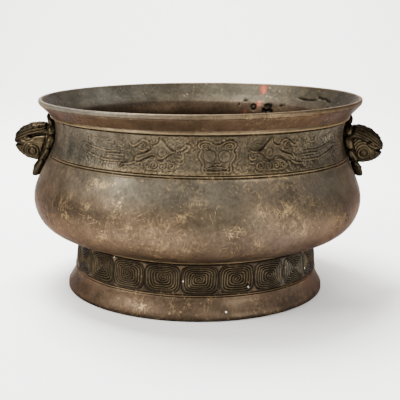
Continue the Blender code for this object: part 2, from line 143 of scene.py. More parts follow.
def skin_radius(level):
    """Radius of the outer skin above the foot, by level: an under-belly that mixes a second and a sixth power,
    an eased shoulder, a neck of two parabolas, and a straight flare."""
    level = np.asarray(level, float)
    down = part_way(level, belly_widest, belly_bottom)
    under = belly_radius - (belly_radius - belly_foot_radius) * (0.47 * down ** 2 + 0.53 * down ** 6)
    shoulder_share = eased(part_way(level, belly_widest, neck_bottom))
    shoulder = belly_radius - (belly_radius - neck_bottom_radius) * shoulder_share
    neck = neck_waist_radius
    for end, end_radius in ((neck_bottom, neck_bottom_radius), (neck_top, neck_top_radius)):
        neck = neck + (end_radius - neck_waist_radius) * part_way(level, neck_waist, end) ** 2
    step = np.clip((level - neck_top) / moulding_step, 0, 1)
    moulding = neck_top_radius + (moulding_radius - neck_top_radius) * step
    flare = flare_foot_radius + (rim_radius - flare_foot_radius) * part_way(level, flare_foot, lip_bottom)
    tops = (belly_widest, neck_bottom, neck_top, flare_foot)
    return np.select([level < top for top in tops], [under, shoulder, neck, moulding], flare)


def foot_radius(level):
    """Radius of the foot's outer skin: a wall that widens downwards, then a skirt that eases outwards."""
    level = np.asarray(level, float)
    wall_share = (belly_bottom - level) / (belly_bottom - skirt_top)
    upright = foot_top_radius + (foot_bottom_radius - foot_top_radius) * wall_share
    skirt_share = eased(part_way(level, skirt_top, skirt_edge))
    skirt = foot_bottom_radius + (skirt_radius - foot_bottom_radius) * skirt_share
    return np.where(level > skirt_top, upright, skirt)


print("belly", skin_radius(belly_widest), "neck", skin_radius(neck_waist), "foot", foot_radius(skirt_edge))

# %% [markdown]
# No old casting is quite true. This one leans by about a degree towards one side, and its mouth rises the same
# way. Both are put on every point at the very end, so that all the patterns can be drawn on a straight vessel.

# %% Out of true
lean = 0.0169
lean_pivot = 141.0
mouth_tilt = 0.0154


def out_of_true(x, y, z):
    """Points in millimetres, leant by the lean times the height over the pivot and lifted by the mouth's tilt,
    which grows with the square of the way from the neck's foot to the rim."""
    share = part_way(z, neck_bottom, height)
    return np.stack([x + lean * (z - lean_pivot), y + 0 * x, z + mouth_tilt * x * share ** 2], -1)


def round_axis(radius, angle, level):
    """Points at a radius and an angle round the axis, anticlockwise from the right-hand side."""
    return out_of_true(radius * np.cos(angle), radius * np.sin(angle), level + 0 * radius)


print("the rim's centre moves by", round(lean * (height - lean_pivot), 2), "mm")

# %% [markdown]
# Every piece here is a closed grid: its columns meet round the piece, and its rows either meet as well, as in
# a ring, or end in a point at both ends. Faces are made for the whole grid at once, and the piece is turned
# inside out when its volume comes out negative.

# %% From a grid of points to faces


def grid_faces(rows, columns, meets):
    """Four point numbers for each face of the grid, and the grid place (row, column) of each corner."""
    row, column = np.meshgrid(np.arange(rows if meets else rows - 1), np.arange(columns), indexing="ij")
    row, column = row.ravel(), column.ravel()
    corners_row = np.stack([row, row, row + 1, row + 1], -1)
    corners_column = np.stack([column, column + 1, column + 1, column], -1)
    numbers = (corners_row % rows) * columns + corners_column % columns
    return numbers, corners_row % rows, corners_column


def volume(points, faces):
    """Six times the signed volume: the sum of the triple products of the faces' corners."""
    a, b, c, d = (points[faces[:, k]] for k in range(4))
    first = np.einsum("ij,ij->i", a, np.cross(b, c)).sum()
    return first + np.einsum("ij,ij->i", a, np.cross(c, d)).sum()


def end_fans(rows, columns, turned):
    """Triangles from the first and the last row to a point in the middle of each."""
    around = np.arange(columns)
    fans = []
    for end, pole in ((0, rows * columns), (rows - 1, rows * columns + 1)):
        ring, following = around + end * columns, (around + 1) % columns + end * columns
        fan = np.stack([following, ring, np.full(columns, pole)], -1)
        fans.append(fan[:, ::-1] if (end != 0) != turned else fan)
    return np.concatenate(fans)


print("faces of a ring of 3 by 4 points:", len(grid_faces(3, 4, True)[0]))

# %% From faces to a mesh


def new_mesh(name, points, loops, totals):
    """A mesh of points in metres, with its faces one after the other in one list of corners."""
    data = bpy.data.meshes.new(name)
    data.vertices.add(len(points))
    data.vertices.foreach_set("co", points.astype(np.float32).ravel())
    data.loops.add(len(loops))
    data.loops.foreach_set("vertex_index", loops.astype(np.int32))
    data.polygons.add(len(totals))
    data.polygons.foreach_set("loop_start", (np.cumsum(totals) - totals).astype(np.int32))
    data.polygons.foreach_set("loop_total", totals.astype(np.int32))
    data.update(calc_edges=True)
    data.validate()
    data.shade_smooth()
    return data


def make_piece(name, grid, colours, along=None, up=None, meets=False):
    """A closed mesh from a grid of points in millimetres, with four numbers for each point (red, green, blue
    and the share of wear) and, for patterns that follow the surface, its unrolled place on each corner."""
    rows, columns = grid.shape[:2]
    points, colours = grid.reshape(-1, 3) * mm, colours.reshape(-1, 4)
    faces, corner_row, corner_column = grid_faces(rows, columns, meets)
    turned = volume(points, faces) < 0
    if turned:
        faces, corner_row, corner_column = faces[:, ::-1], corner_row[:, ::-1], corner_column[:, ::-1]
    loops, totals = faces.ravel(), np.full(len(faces), 4)
    if not meets:
        points = np.concatenate([points, np.array([grid[0].mean(0), grid[-1].mean(0)]) * mm])
        colours = np.concatenate([colours, [colours[:columns].mean(0), colours[-columns:].mean(0)]])
        fans = end_fans(rows, columns, turned)
        loops, totals = np.append(loops, fans), np.append(totals, np.full(len(fans), 3))
    data = new_mesh(name, points, loops, totals)
    tint = data.attributes.new("patina", "FLOAT_COLOR", "POINT")
    tint.data.foreach_set("color", colours.astype(np.float32).ravel())
    if along is not None:
        along_ends = np.append(along, along[0] + full_turn * skin_radius(neck_waist))
        places = np.stack([along_ends[corner_column], up[corner_row], 0 * corner_row], -1).reshape(-1, 3)
        ends = np.repeat([(along[0], up[0], 0), (along[0], up[-1], 0)], 3 * columns, axis=0)
        unrolled = data.attributes.new("unrolled", "FLOAT_VECTOR", "CORNER")
        unrolled.data.foreach_set("vector", (np.concatenate([places, ends]) * mm).astype(np.float32).ravel())
    print(name, "triangles:", int(totals.sum() - 2 * len(totals)))
    return in_scene(name, data)


print("meshes so far:", len(bpy.data.meshes))

# %% [markdown]
# Colours are written as sRGB hex values, as one picks them on a screen, and one function turns them linear.
# Patina isn't one colour: brown where the bronze was handled, olive and grey where it was not, and nearly black
# in the grooves. The broad tones are worked out for each point, and the fine grain is left to the material.
# Some tones are painted light and shade: pale greys where more light falls, darker browns where shade falls.

# %% Colours of the patina


def linear(hex_colour):
    """An sRGB hex colour as linear red, green and blue."""
    parts = np.array([(hex_colour >> shift) & 255 for shift in (16, 8, 0)]) / 255
    return np.where(parts <= 0.04045, parts / 12.92, ((parts + 0.055) / 1.055) ** 2.4)


brown_grey = linear(0x4B3F31)
olive_grey = linear(0x40392D)
red_brown = linear(0x544233)
dark_brown = linear(0x2A221B)
# Painted light: a rosy grey laid on the lower right of the belly and the skirt.
painted_light_rosy = linear(0x5C4E45)
flare_brown = linear(0x3E2E20)
frieze_olive = linear(0x352F24)
tile_olive = linear(0x362E22)
# Nearly black dirt in grooves and hollows, and also painted shade behind the handles, against the neck.
groove_and_shade_dark = linear(0x0E0B07)
# Tan of rubbed bronze, and also a painted highlight along the foot of the frieze.
rubbed_and_highlight_tan = linear(0x8A7452)
handle_olive = linear(0x2E281D)
handle_gold = linear(0x524430)
inside_grey = linear(0x2A2720)
chalk_white = linear(0xE8E4DA)
copper_red = linear(0x743A2A)
# Painted light: a cool pale grey laid where more light falls, on the rim, the inside, the upper skin, the
# frieze and the right side.
painted_light_grey = linear(0x66645C)
metal_sheen = linear(0x968A7C)
paper_white = linear(0xF8F7F5)


def bump(distance):
    """A soft bump: 1 in the middle and a third at a distance of 1."""
    return np.exp(-np.square(distance))


def smooth(share):
    """A step from 0 to 1 with level ends: three squares less two cubes."""
    share = np.clip(share, 0, 1)
    return share * share * (3 - 2 * share)


def mixed(first, second, share):
    """Each point's colour between two colours, or between two arrays of colours, by its share."""
    share = np.clip(share, 0, 1)[..., None]
    return first * (1 - share) + second * share


def layered(colour, *coats):
    """A colour under coats of other tones, in order: each coat is a tone and its share at each point."""
    for tone, share in coats:
        colour = mixed(colour, tone, share)
    return colour


def with_share(colours, share=0.0):
    """The colours with a fourth number, the share of wear."""
    return np.concatenate([colours, np.broadcast_to(share, colours.shape[:-1])[..., None]], -1)


def patches(angle, level, size, seed):
    """Soft random patches from 0 to 1, about as wide as size: random values on a lattice that wraps round the
    vessel and covers levels from -100 to 300, joined by smooth steps."""
    across = max(3, round(full_turn * neck_waist_radius / size))
    lattice = np.random.default_rng(seed).random((int(400 / size) + 3, across))
    x, y = angle / full_turn % 1 * across, (level + 100) / size
    column, row = np.floor(x).astype(int), np.floor(y).astype(int)
    right, over = smooth(x - column), smooth(y - row)
    low, high = (lattice[line, column % across] * (1 - right) + lattice[line, (column + 1) % across] * right
                 for line in (row, row + 1))
    return low * (1 - over) + high * over


def degrees_from(angle, degrees):
    """How far an angle is from one given in degrees, from -180 to 180."""
    return (angle / degree - degrees + 180) % 360 - 180


def spot(angle, level, degrees, at, wide, high):
    """A soft spot on the skin, 1 in its middle, given in degrees round the vessel and level."""
    along = degrees_from(angle, degrees)
    return bump(np.hypot(along * degree * rim_radius / wide, (level - at) / high))


print("linear brown:", brown_grey.round(3))

# %% [markdown]
# The vessel's body is one closed surface. Its profile runs from the middle of the underside out over the
# foot, up the skin, over the lip and down the inside to the middle of the floor. Thin turned lines and
# fillets are added to the radius as small bumps, and two shallow channels are left for the carved bands.
# The rows are set close only where the profile turns sharply, which keeps the mesh light.

# %% Turned lines and fillets
turned_details = [
    (20.0, 0.42, -0.7), (20.9, 0.45, 0.45), (21.9, 0.42, -0.7),
    (48.0, 0.45, -0.8), (49.2, 0.6, 0.5), (50.5, 0.4, -0.3),
    (126.4, 0.8, 0.3), (127.5, 0.42, -0.6), (128.5, 0.7, 0.5), (129.5, 0.42, -0.6),
    (161.6, 0.42, -0.6), (163.4, 0.9, 0.45), (165.2, 0.4, -0.15), (175.9, 0.35, -0.45), (178.4, 1.2, 0.2),
]


def turned_lines(level):
    """The sum of the lines and fillets at a level: each is a bump with its own half width and height."""
    return sum(rise * bump((level - at) / half) for at, half, rise in turned_details)


print("turned details:", len(turned_details))

# %% The body's profile
floor_under = 45.6
foot_hollow = [(0, 117.1), (11.5, 113.7), (19, 111.2), (42.6, 109.2)]
hollow_corner = (105.7, 3.5, 42.6, 3)
belly_start = 50.7
edge_round = 0.8
lip_land = 2.6
axis_gap = 1.5
bowl_floor = ([108.8, 76.2, axis_gap], [53.6, 51.3, 50.2])
bowl_neck_top = 160.7
bowl_low = 57
bowl_softening = 2.6
path_step = 0.1


def even_steps(start, end, step=path_step):
    """Numbers from start to end in even small steps."""
    return np.linspace(start, end, max(2, int(abs(end - start) / step)))


def inset(level):
    """The point one wall inside the skin and square to it, as (radius, level)."""
    slope = (skin_radius(level + 0.1) - skin_radius(level - 0.1)) / 0.2
    length = np.hypot(1, slope)
    return skin_radius(level) - wall / length, level + wall * slope / length


def softened(path, window):
    """A path resampled in steps of a tenth of a millimetre, each point the mean of those in the window."""
    run = np.append(0, np.cumsum(np.hypot(*np.diff(path, axis=0).T)))
    even = np.arange(0, run[-1], path_step)
    half = round(window / path_step / 2)
    kernel = np.ones(2 * half + 1) / (2 * half + 1)
    ends = [np.pad(np.interp(even, run, path[:, k]), half, "edge") for k in range(2)]
    return np.stack([np.convolve(side, kernel, "valid") for side in ends], -1)


def joined(*stretches):
    """One path from stretches of radii and levels, where a single number holds for the whole stretch."""
    return np.concatenate([np.stack(np.broadcast_arrays(r, z), -1) for r, z in stretches])


def outer_path():
    """The profile from the underside's middle to the lip's inner edge."""
    corner_radius, corner_out, corner_level, corner_up = hollow_corner
    corner = even_steps(0, np.pi / 2, 0.02)
    hollow = even_steps(corner_level, 0)
    edge = even_steps(0, np.pi / 2)
    skirt = even_steps(edge_round, foot_band_low)
    band = even_steps(foot_band_low, foot_band_high)
    foot_top = even_steps(foot_band_high, belly_start)
    belly = even_steps(belly_start, frieze_low, path_step / 2)
    neck = even_steps(frieze_low, frieze_high)
    rim = even_steps(frieze_high, height - edge_round)
    return joined(
        (even_steps(axis_gap, corner_radius), floor_under),
        (corner_radius + corner_out * np.sin(corner), corner_level + corner_up * np.cos(corner)),
        (np.interp(hollow, *zip(*foot_hollow)), hollow),
        (even_steps(foot_hollow[0][1], skirt_radius - edge_round), 0),
        (skirt_radius - edge_round + edge_round * np.sin(edge), edge_round - edge_round * np.cos(edge)),
        (foot_radius(skirt) + turned_lines(skirt), skirt),
        (foot_radius(band) - channel_depth, band),
        (foot_radius(foot_top) + turned_lines(foot_top), foot_top),
        (skin_radius(belly) + turned_lines(belly), belly),
        (skin_radius(neck) - channel_depth, neck),
        (skin_radius(rim) + turned_lines(rim), rim),
        (rim_radius - edge_round + edge_round * np.cos(edge), height - edge_round + edge_round * np.sin(edge)),
        (even_steps(rim_radius - edge_round, rim_radius - lip_land), height),
    )


def inner_path():
    """The profile from the lip's inner edge down the inside to the middle of the floor."""
    neck = even_steps(bowl_neck_top, neck_bottom)
    belly = even_steps(neck_bottom, bowl_low)
    mouth = ([rim_radius - 3.0, rim_radius - 3.4, 138.9], [height - 0.2, height - 1.0, 168.9])
    path = joined(mouth, (skin_radius(neck) - wall, neck), inset(belly), bowl_floor)
    return softened(path, bowl_softening)


outside, inside = outer_path(), inner_path()
print("profile points:", len(outside), "outside,", len(inside), "inside")

# %% Rows where the profile needs them
line_row = 0.44
lip_row = 0.6
hidden_row = 7.0


def spacing_outside(radius, level):
    """Wanted distance between rows: under half a millimetre at the turned lines, up to 3.5 mm between them,
    and 7 mm under the foot, where nobody looks."""
    nearest = np.min([np.abs(level - at) for at, _, _ in turned_details], axis=0)
    gap = line_row + 3.0 * smooth((nearest - 0.7) / 3)
    gap = np.where(level > lip_bottom + 1, lip_row, gap)
    return np.where((radius < 110) & (level < 47), hidden_row, gap)


def spacing_inside(radius, level):
    """Wanted distance between rows inside: close where the wall shows casting flaws, wide on the floor."""
    flawed = smooth((level - 143) / 6)
    return 0.95 * flawed + 4.6 * (1 - flawed) + 3 * smooth((100 - radius) / 40)


def chosen_rows(path, spacing):
    """Points of the path at whole numbers of the running sum of its length over the wanted spacing."""
    length = np.hypot(*np.diff(path, axis=0).T)
    count = np.append(0, np.cumsum(length / spacing(*path[1:].T)))
    marks = np.linspace(0, count[-1], int(count[-1]) + 1)
    return np.stack([np.interp(marks, count, path[:, k]) for k in range(2)], -1)


outside_rows = chosen_rows(outside, spacing_outside)
inside_rows = chosen_rows(inside, spacing_inside)
body_path = np.concatenate([outside_rows, inside_rows])
is_inside = np.arange(len(body_path)) >= len(outside_rows)
print("rows:", len(outside_rows), "outside,", len(inside_rows), "inside")

# %% [markdown]
# The inside of the far wall shows what the foundry left: a ring-shaped pit, torn holes beside it, small
# pocks, a crack that runs along under the rim, and spots of red copper. All but the copper, which is only a
# colour, are pressed into the mesh by the distance from each place, so they shade as real hollows.

# %% Flaws of the inner wall
flaw_radius = 133.0
ring_pit = (64.2, 157.0)
torn_pits = [(56.8, 159.1, 2.6, 1.5), (58.2, 153.6, 2.4, 1.7), (55.9, 154.0, 2.2, 2.2), (55.6, 160.4, 1.2, 1.0)]
pocks = [(50.1, 160.5, 1.5, 0.8), (48.6, 161.2, 1.1, 0.6), (68.6, 163.1, 1.2, 0.7), (71.2, 158.9, 1.0, 0.6)]
crack = [(44.5, 168.9), (40.7, 168.4), (36.5, 167.9), (32.6, 168.9), (31.3, 171.6), (28.8, 170.6)]
crack += [(26.4, 170.9), (24.6, 169.7), (22.4, 169.2), (20.6, 167.4)]
copper_spots = [(62.1, 176.3, 3.4, 3.2), (61.2, 173.0, 2.2, 2.6), (61.6, 160.9, 2.0, 2.4)]
copper_spots += [(68.2, 151.6, 1.8, 1.6)]


def unrolled_inside(angle, level, place):
    """Distances along and up, in millimetres, of grid points from a place given in degrees and level."""
    return (angle - place[0] * degree) * flaw_radius, level - place[1]


def path_distance(path, along, up):
    """Least distance to a chain of straight stretches, and how far along the chain its nearest point is."""
    best = np.full(np.broadcast(along, up).shape, 1e9)
    share = np.zeros_like(best)
    for k, ((ax, ay), (bx, by)) in enumerate(zip(path, path[1:])):
        dx, dy = bx - ax, by - ay
        t = np.clip(((along - ax) * dx + (up - ay) * dy) / (dx * dx + dy * dy), 0, 1)
        gap = np.hypot(along - ax - t * dx, up - ay - t * dy)
        share = np.where(gap < best, (k + t) / (len(path) - 1), share)
        best = np.minimum(best, gap)
    return best, share


def inner_flaws(angle, level):
    """Depth of the flaws: a ring-shaped groove, ragged hollows, pocks and the crack's groove."""
    along, up = unrolled_inside(angle, level, ring_pit)
    depth = 1.3 * bump((np.hypot(along, up * 0.9) - 2.3) / 0.75)
    ragged = patches(angle, level, 1.3, 5) - 0.5
    for degrees, at, size, deep in torn_pits + pocks:
        along, up = unrolled_inside(angle, level, (degrees, at))
        depth = np.maximum(depth, deep * smooth(1.6 - np.hypot(along * 0.8, up * 1.2) / size + 0.9 * ragged))
    line = [(degrees * degree * flaw_radius, at) for degrees, at in crack]
    distance, share = path_distance(line, angle * flaw_radius, level)
    return np.maximum(depth, 1.5 * bump(distance / 0.62) * smooth(7 * share) * smooth(7 * (1 - share)))


print("flaws:", 1 + len(torn_pits) + len(pocks), "pits and a crack of", len(crack), "points")

# %% The body's grid
column_stretches = [(17, 74, 148), (74, 195, 48), (195, 345, 132), (345, 377, 12)]


def pushed_out(path, rise):
    """The profile's points moved square to it by rise, which is one number for each grid point."""
    tangent = np.gradient(path, axis=0)
    length = np.maximum(np.hypot(*tangent.T), 1e-9)
    across = np.stack([tangent[:, 1], -tangent[:, 0]], -1) / length[:, None]
    return path[:, None, :] + across[:, None, :] * rise[..., None]


# Columns stand close over the flawed wall, middling over the front and wide over the rest.
stretches = [np.linspace(start, end, count, endpoint=False) for start, end, count in column_stretches]
angles = np.concatenate(stretches) * degree
angle, level = np.meshgrid(angles, body_path[:, 1])
inner = is_inside[:, None]
waviness = 0.16 * (patches(angle, level, 38, 1) - 0.5) + 0.08 * (patches(angle, level, 11, 2) - 0.5)
flaws = np.where(inner & (level > 140), inner_flaws(angle, level), 0)
shifted = pushed_out(body_path, waviness * (level > 1) - flaws)
body_grid = round_axis(shifted[..., 0], angle, shifted[..., 1])
print("body grid:", body_grid.shape)

# %% Broad tones of the body
rubbed_places = [
    (232.3, 97.3, 5, 4), (235.0, 116.2, 11, 3.5), (239.0, 119.5, 6, 3), (245.3, 106.1, 2.5, 5),
    (248.1, 87.2, 4, 4), (256.6, 94.0, 3, 3), (265.5, 100.5, 5, 4), (275.2, 103.0, 1.8, 10),
    (290.1, 100.9, 5, 3), (298.5, 101.0, 10, 7), (304.8, 83.0, 3, 6), (282.0, 88.0, 7, 2),
    (240.0, 76.0, 12, 3), (248.1, 10.8, 6, 3), (274.5, 13.9, 3, 2.5),
]


def wear(angle, level, inner):
    """Share of the skin that is rubbed down to tan flecks: little inside but under the mouth, some on the
    outside, and most in the rubbed places."""
    least = np.where(level > neck_top, 0.2, np.where(level < belly_bottom, 0.22, 0.3))
    broad = 0.35 * (patches(angle, level, 40, 61) - 0.4) + 0.4 * (patches(angle, level, 11, 62) - 0.45)
    broad = broad + 0.22 * spot(angle, level, 249, 88, 44, 16)
    rubbed = sum(spot(angle, level, *place) for place in rubbed_places)
    upper_wall = 0.05 + 0.18 * smooth((level - 158) / 8)
    return np.where(inner, upper_wall, np.clip(least + broad + 0.55 * rubbed, 0, 1))


def body_tones(angle, level, inner):
    """Brown-grey with olive clouds on the belly, redder low down, brown on the flare, grey-olive inside."""
    cloud, near = partial(patches, angle, level), partial(spot, angle, level)
    clouds = cloud(46, 11) * 0.6 + cloud(19, 12) * 0.4
    lines = turned_lines(level)
    outer_tone = layered(
        brown_grey,
        (olive_grey, smooth((clouds - 0.38) * 3)),
        (red_brown, 0.8 * (smooth((112 - level) / 45) * (0.4 + 0.6 * cloud(31, 13)))),
        (dark_brown, 0.3 * smooth((cloud(27, 14) - 0.55) * 3)),
        (dark_brown, 0.85 * near(222, 92, 30, 12)),
        # Painted shade: darker brown on the belly's right edge, the side away from the light.
        (dark_brown, 0.6 * near(326, 93, 30, 11)),
        # Painted light: cool pale grey towards the top of the skin, where more light falls from above.
        (painted_light_grey, 0.14 * smooth((level - 100) / 16)),
        # Painted light: cool pale grey on the front right of the shoulder.
        (painted_light_grey, 0.35 * near(322, 114, 46, 20)),
        # Painted light: rosy grey on the lower right of the belly.
        (painted_light_rosy, 0.6 * near(302, 66, 60, 20)),
        # Painted shade: darker brown in the cove under the belly's overhang, above the foot.
        (dark_brown, 0.75 * smooth((55 - level) / 5) * (level > 46)),
        # A darker skirt, with painted contact shadow along its bottom edge where it meets the floor.
        (dark_brown, 0.3 * (level < skirt_top) + 0.7 * smooth((3.4 - level) / 2.6)),
        # Painted light: rosy grey on the right of the skirt.
        (painted_light_rosy, 0.8 * near(326, 10, 44, 9)),
        (flare_brown, 0.85 * smooth((level - 164.4) / 1.2)),
        (red_brown, 0.6 * near(290, 170, 40, 9)),
        (frieze_olive, 0.7 * (bump((level - 162.6) / 1.6) + bump((level - 127.5) / 1.6))),
        (rubbed_and_highlight_tan, 0.2 * bump((level - 163.3) / 1.5)),
        (olive_grey, 0.6 * smooth((level - 176.3) / 1.5)),
        (rubbed_and_highlight_tan, 0.1 * smooth((level - 176.3) / 1.5)),
        # Painted light: cool pale grey along the lip on the left, where light falls on the rim.
        (painted_light_grey, 0.8 * near(208, 179, 110, 3)),
        (groove_and_shade_dark, smooth(-lines / 0.5)),
        (rubbed_and_highlight_tan, 0.36 * smooth((lines - 0.1) / 0.4) * (level < 170)),
    )
    inner_tone = layered(
        inside_grey,
        (brown_grey, 0.1 * clouds),
        # Painted reflection: cool pale grey on the inside of the far wall at the left.
        (painted_light_grey, 0.38 * near(142, 172, 60, 16)),
        (flare_brown, 0.6 * smooth((166 - level) / 10)),
        # Painted shade: darker brown deeper down inside the bowl.
        (0.45 * flare_brown, smooth((157 - level) / 20)),
        (rubbed_and_highlight_tan, 0.15 * smooth((level - 178.6) / 1.2)),
    )
    return np.where(inner[..., None], inner_tone, outer_tone)


copper = sum(spot(angle, level, *place) for place in copper_spots) * inner
body_colours = body_tones(angle, level, inner)
body_colours = layered(body_colours, (copper_red, 0.8 * copper), (groove_and_shade_dark, smooth(flaws / 0.8)))
unrolled_up = np.append(0, np.cumsum(np.hypot(*np.diff(body_path, axis=0).T)))
vessel_body = make_piece("vessel_body", body_grid, with_share(body_colours, wear(angle, level, inner)),
                         angles * skin_radius(neck_waist), unrolled_up)

# %% [markdown]
# The frieze round the neck is cast in low relief: on the front a beast's mask between two running dragons
# with clouds, on a ground of small punched specks. It could be a displaced texture, but the export drops
# those, so the relief is a real height for each point of a fine ring. Plates, strokes and domes are each a
# function of the distance from an outline, a line or a centre.

# %% Tools for relief


def local_mean(values, rows=2, columns=2):
    """Mean over a small window of a grid whose columns wrap round."""
    around = np.mean([np.roll(values, k, 1) for k in range(-columns, columns + 1)], axis=0)
    padded = np.pad(around, ((rows, rows), (0, 0)), "edge")
    return np.mean([padded[k:k + len(values)] for k in range(2 * rows + 1)], axis=0)


def rounded(path, closed=False, parts=5):
    """A smooth chain through the points: each stretch is a cubic whose slopes come from the neighbours."""
    points = np.array(path, float)
    if closed:
        points = np.concatenate([points[-1:], points, points[:2]])
    else:
        points = np.concatenate([2 * points[:1] - points[1:2], points, 2 * points[-1:] - points[-2:-1]])
    a, b, c, d = points[:-3, None], points[1:-2, None], points[2:-1, None], points[3:, None]
    t = (np.arange(parts) / parts)[None, :, None]
    curve = b + 0.5 * t * (c - a + t * (2 * a - 5 * b + 4 * c - d + t * (3 * (b - c) + d - a)))
    chain = curve.reshape(-1, 2)
    return [tuple(p) for p in (chain if closed else np.concatenate([chain, points[-2:-1]]))]


def depth_inside(outline, along, up):
    """Distance to a closed outline, positive inside it: a ray from there crosses the outline oddly often."""
    ring = list(outline) + [outline[0]]
    distance, _ = path_distance(ring, along, up)
    odd = np.zeros(distance.shape, bool)
    for (ax, ay), (bx, by) in zip(ring, ring[1:]):
        if ay != by:
            odd ^= ((ay > up) != (by > up)) & (along < ax + (up - ay) * (bx - ax) / (by - ay))
    return np.where(odd, distance, -distance)


class Relief:
    """Heights in millimetres on the unrolled ring."""

    def __init__(self, along, up):
        self.along, self.up = along, up
        self.height = np.zeros(along.shape)

    def near(self, places, margin):
        """The part of the grid round some places, as slices, so that far points cost nothing."""
        xs, ys = zip(*places)
        columns = np.flatnonzero((self.along[0] > min(xs) - margin) & (self.along[0] < max(xs) + margin))
        rows = np.flatnonzero((self.up[:, 0] > min(ys) - margin) & (self.up[:, 0] < max(ys) + margin))
        return np.s_[rows[0]:rows[-1] + 1, columns[0]:columns[-1] + 1]

    def plate(self, outline, rise, bevel=0.9):
        """Raise the inside of an outline with a bevelled edge, and press a thin dark groove round it."""
        part = self.near(outline, 2)
        depth = depth_inside(outline, self.along[part], self.up[part])
        self.height[part] = np.maximum(self.height[part], rise * smooth(depth / bevel + 0.2))
        self.height[part] -= 0.45 * bump((depth + 0.6) / 0.5)
        self.height[part] += 0.25 * bump((depth - 0.8) / 0.5)
        return depth, part

    def stroke(self, path, width, rise, groove=0.3):
        """Raise a round ridge along a path, thinner to its ends, with a groove at each side."""
        path = rounded(path)
        part = self.near(path, width + 1.5)
        distance, share = path_distance(path, self.along[part], self.up[part])
        half = width / 2 * (0.45 + 0.55 * np.sqrt(np.sin(np.pi * np.clip(share, 0.02, 0.98))))
        crest = np.sqrt(np.clip(1 - (distance / half) ** 2, 0, 1))
        self.height[part] += rise * crest - groove * bump((distance - half - 0.4) / 0.45)

    def dome(self, centre, radius, rise, pupil):
        """A round eye: a shallow dome in a ring, with a small pit for the pupil."""
        part = self.near([centre], radius + 2)
        distance = np.hypot(self.along[part] - centre[0], self.up[part] - centre[1])
        dome = np.sqrt(np.clip(1 - (distance / radius) ** 2, 0, 1))
        self.height[part] += rise * dome - 0.45 * bump((distance - radius - 0.3) / 0.6)
        self.height[part] -= pupil * bump(distance / 1.1)

    def scroll(self, centre, radius, rise, pitch=2.1):
        """A small spiral: a wave of the distance that advances by one pitch with each turn."""
        part = self.near([centre], radius + 1)
        dx, dy = self.along[part] - centre[0], self.up[part] - centre[1]
        distance = np.hypot(dx, dy)
        wave = 0.5 + 0.5 * np.cos(full_turn * distance / pitch - np.arctan2(dy, dx))
        fade = smooth((radius - distance) / 0.6)
        self.height[part] += rise * (wave - 0.6) * fade


print("points in a rounded triangle:", len(rounded([(0, 0), (2, 0), (1, 2)], True)))

# %% [markdown]
# The figures are drawn in millimetres round a middle of their own: the mask round its nose, the dragon round
# its eye, with x away from the mask. One drawing serves both dragons, mirrored, and the pair on the back.

# %% The figures of the frieze
mask_angle = 6.3
dragon_angle = 18.8
mask_level = 145.0
dragon_level = 147.4

mask_half = [(0, -13.3), (9.8, -13.1), (12.3, -10.6), (11.9, -6), (14.6, -1.9), (15, 1.5), (13.4, 4.7)]
mask_half += [(15.8, 8.2), (14.6, 11.3), (10.4, 12.8), (6, 11.9), (3, 10)]
horn = [(6.2, 6.7), (6.6, 9), (10, 10.2), (12.7, 8.7), (11.2, 6.1), (8.7, 6.7)]
jaw = [(-10, -9.4), (-8.1, -11.2), (-5.6, -11.9), (6.4, -11.6), (8.3, -11), (9.8, -9.5)]
lip = [(-7.8, -10), (-3.2, -8.6), (3.3, -8.6), (6.9, -10.1)]
nose = [(-3.7, -4.9), (-2, -6.9), (0, -6), (2, -6.8), (3.8, -4.7)]

dragon_head = [(-10, 0.4), (-5.8, -1.7), (-1, -5.4), (2.8, -5.8), (7, -3.3), (11.4, -3.8), (16.1, -6.2)]
dragon_head += [(19.6, -8), (23.8, -7.6), (22.9, -3.9), (17.6, -2.2), (12.7, -0.5), (9.4, 2.4), (10.4, 5.4)]
dragon_head += [(7.4, 5.4), (3.8, 7.5), (2.1, 11.6), (0.8, 10.9), (-3.2, 5.8), (-7.4, 1.9)]
dragon_cloud = [(18.3, -11.2), (16, -8.6), (12, -5.8), (7.4, -5.8), (3.2, -7.2), (-1.1, -7.5), (-4.8, -6.8)]
dragon_cloud += [(-8.6, -7.3), (-11.6, -9.9), (-11.2, -13.2), (-6.6, -14.4), (0.8, -14.5), (7.8, -15)]
dragon_cloud += [(14.2, -14.1)]
cloud_scrolls = [(-7.6, -10.8, 4.0), (-0.6, -11.2, 4.2), (6.8, -10.8, 4.4), (13.2, -10.8, 3.4)]
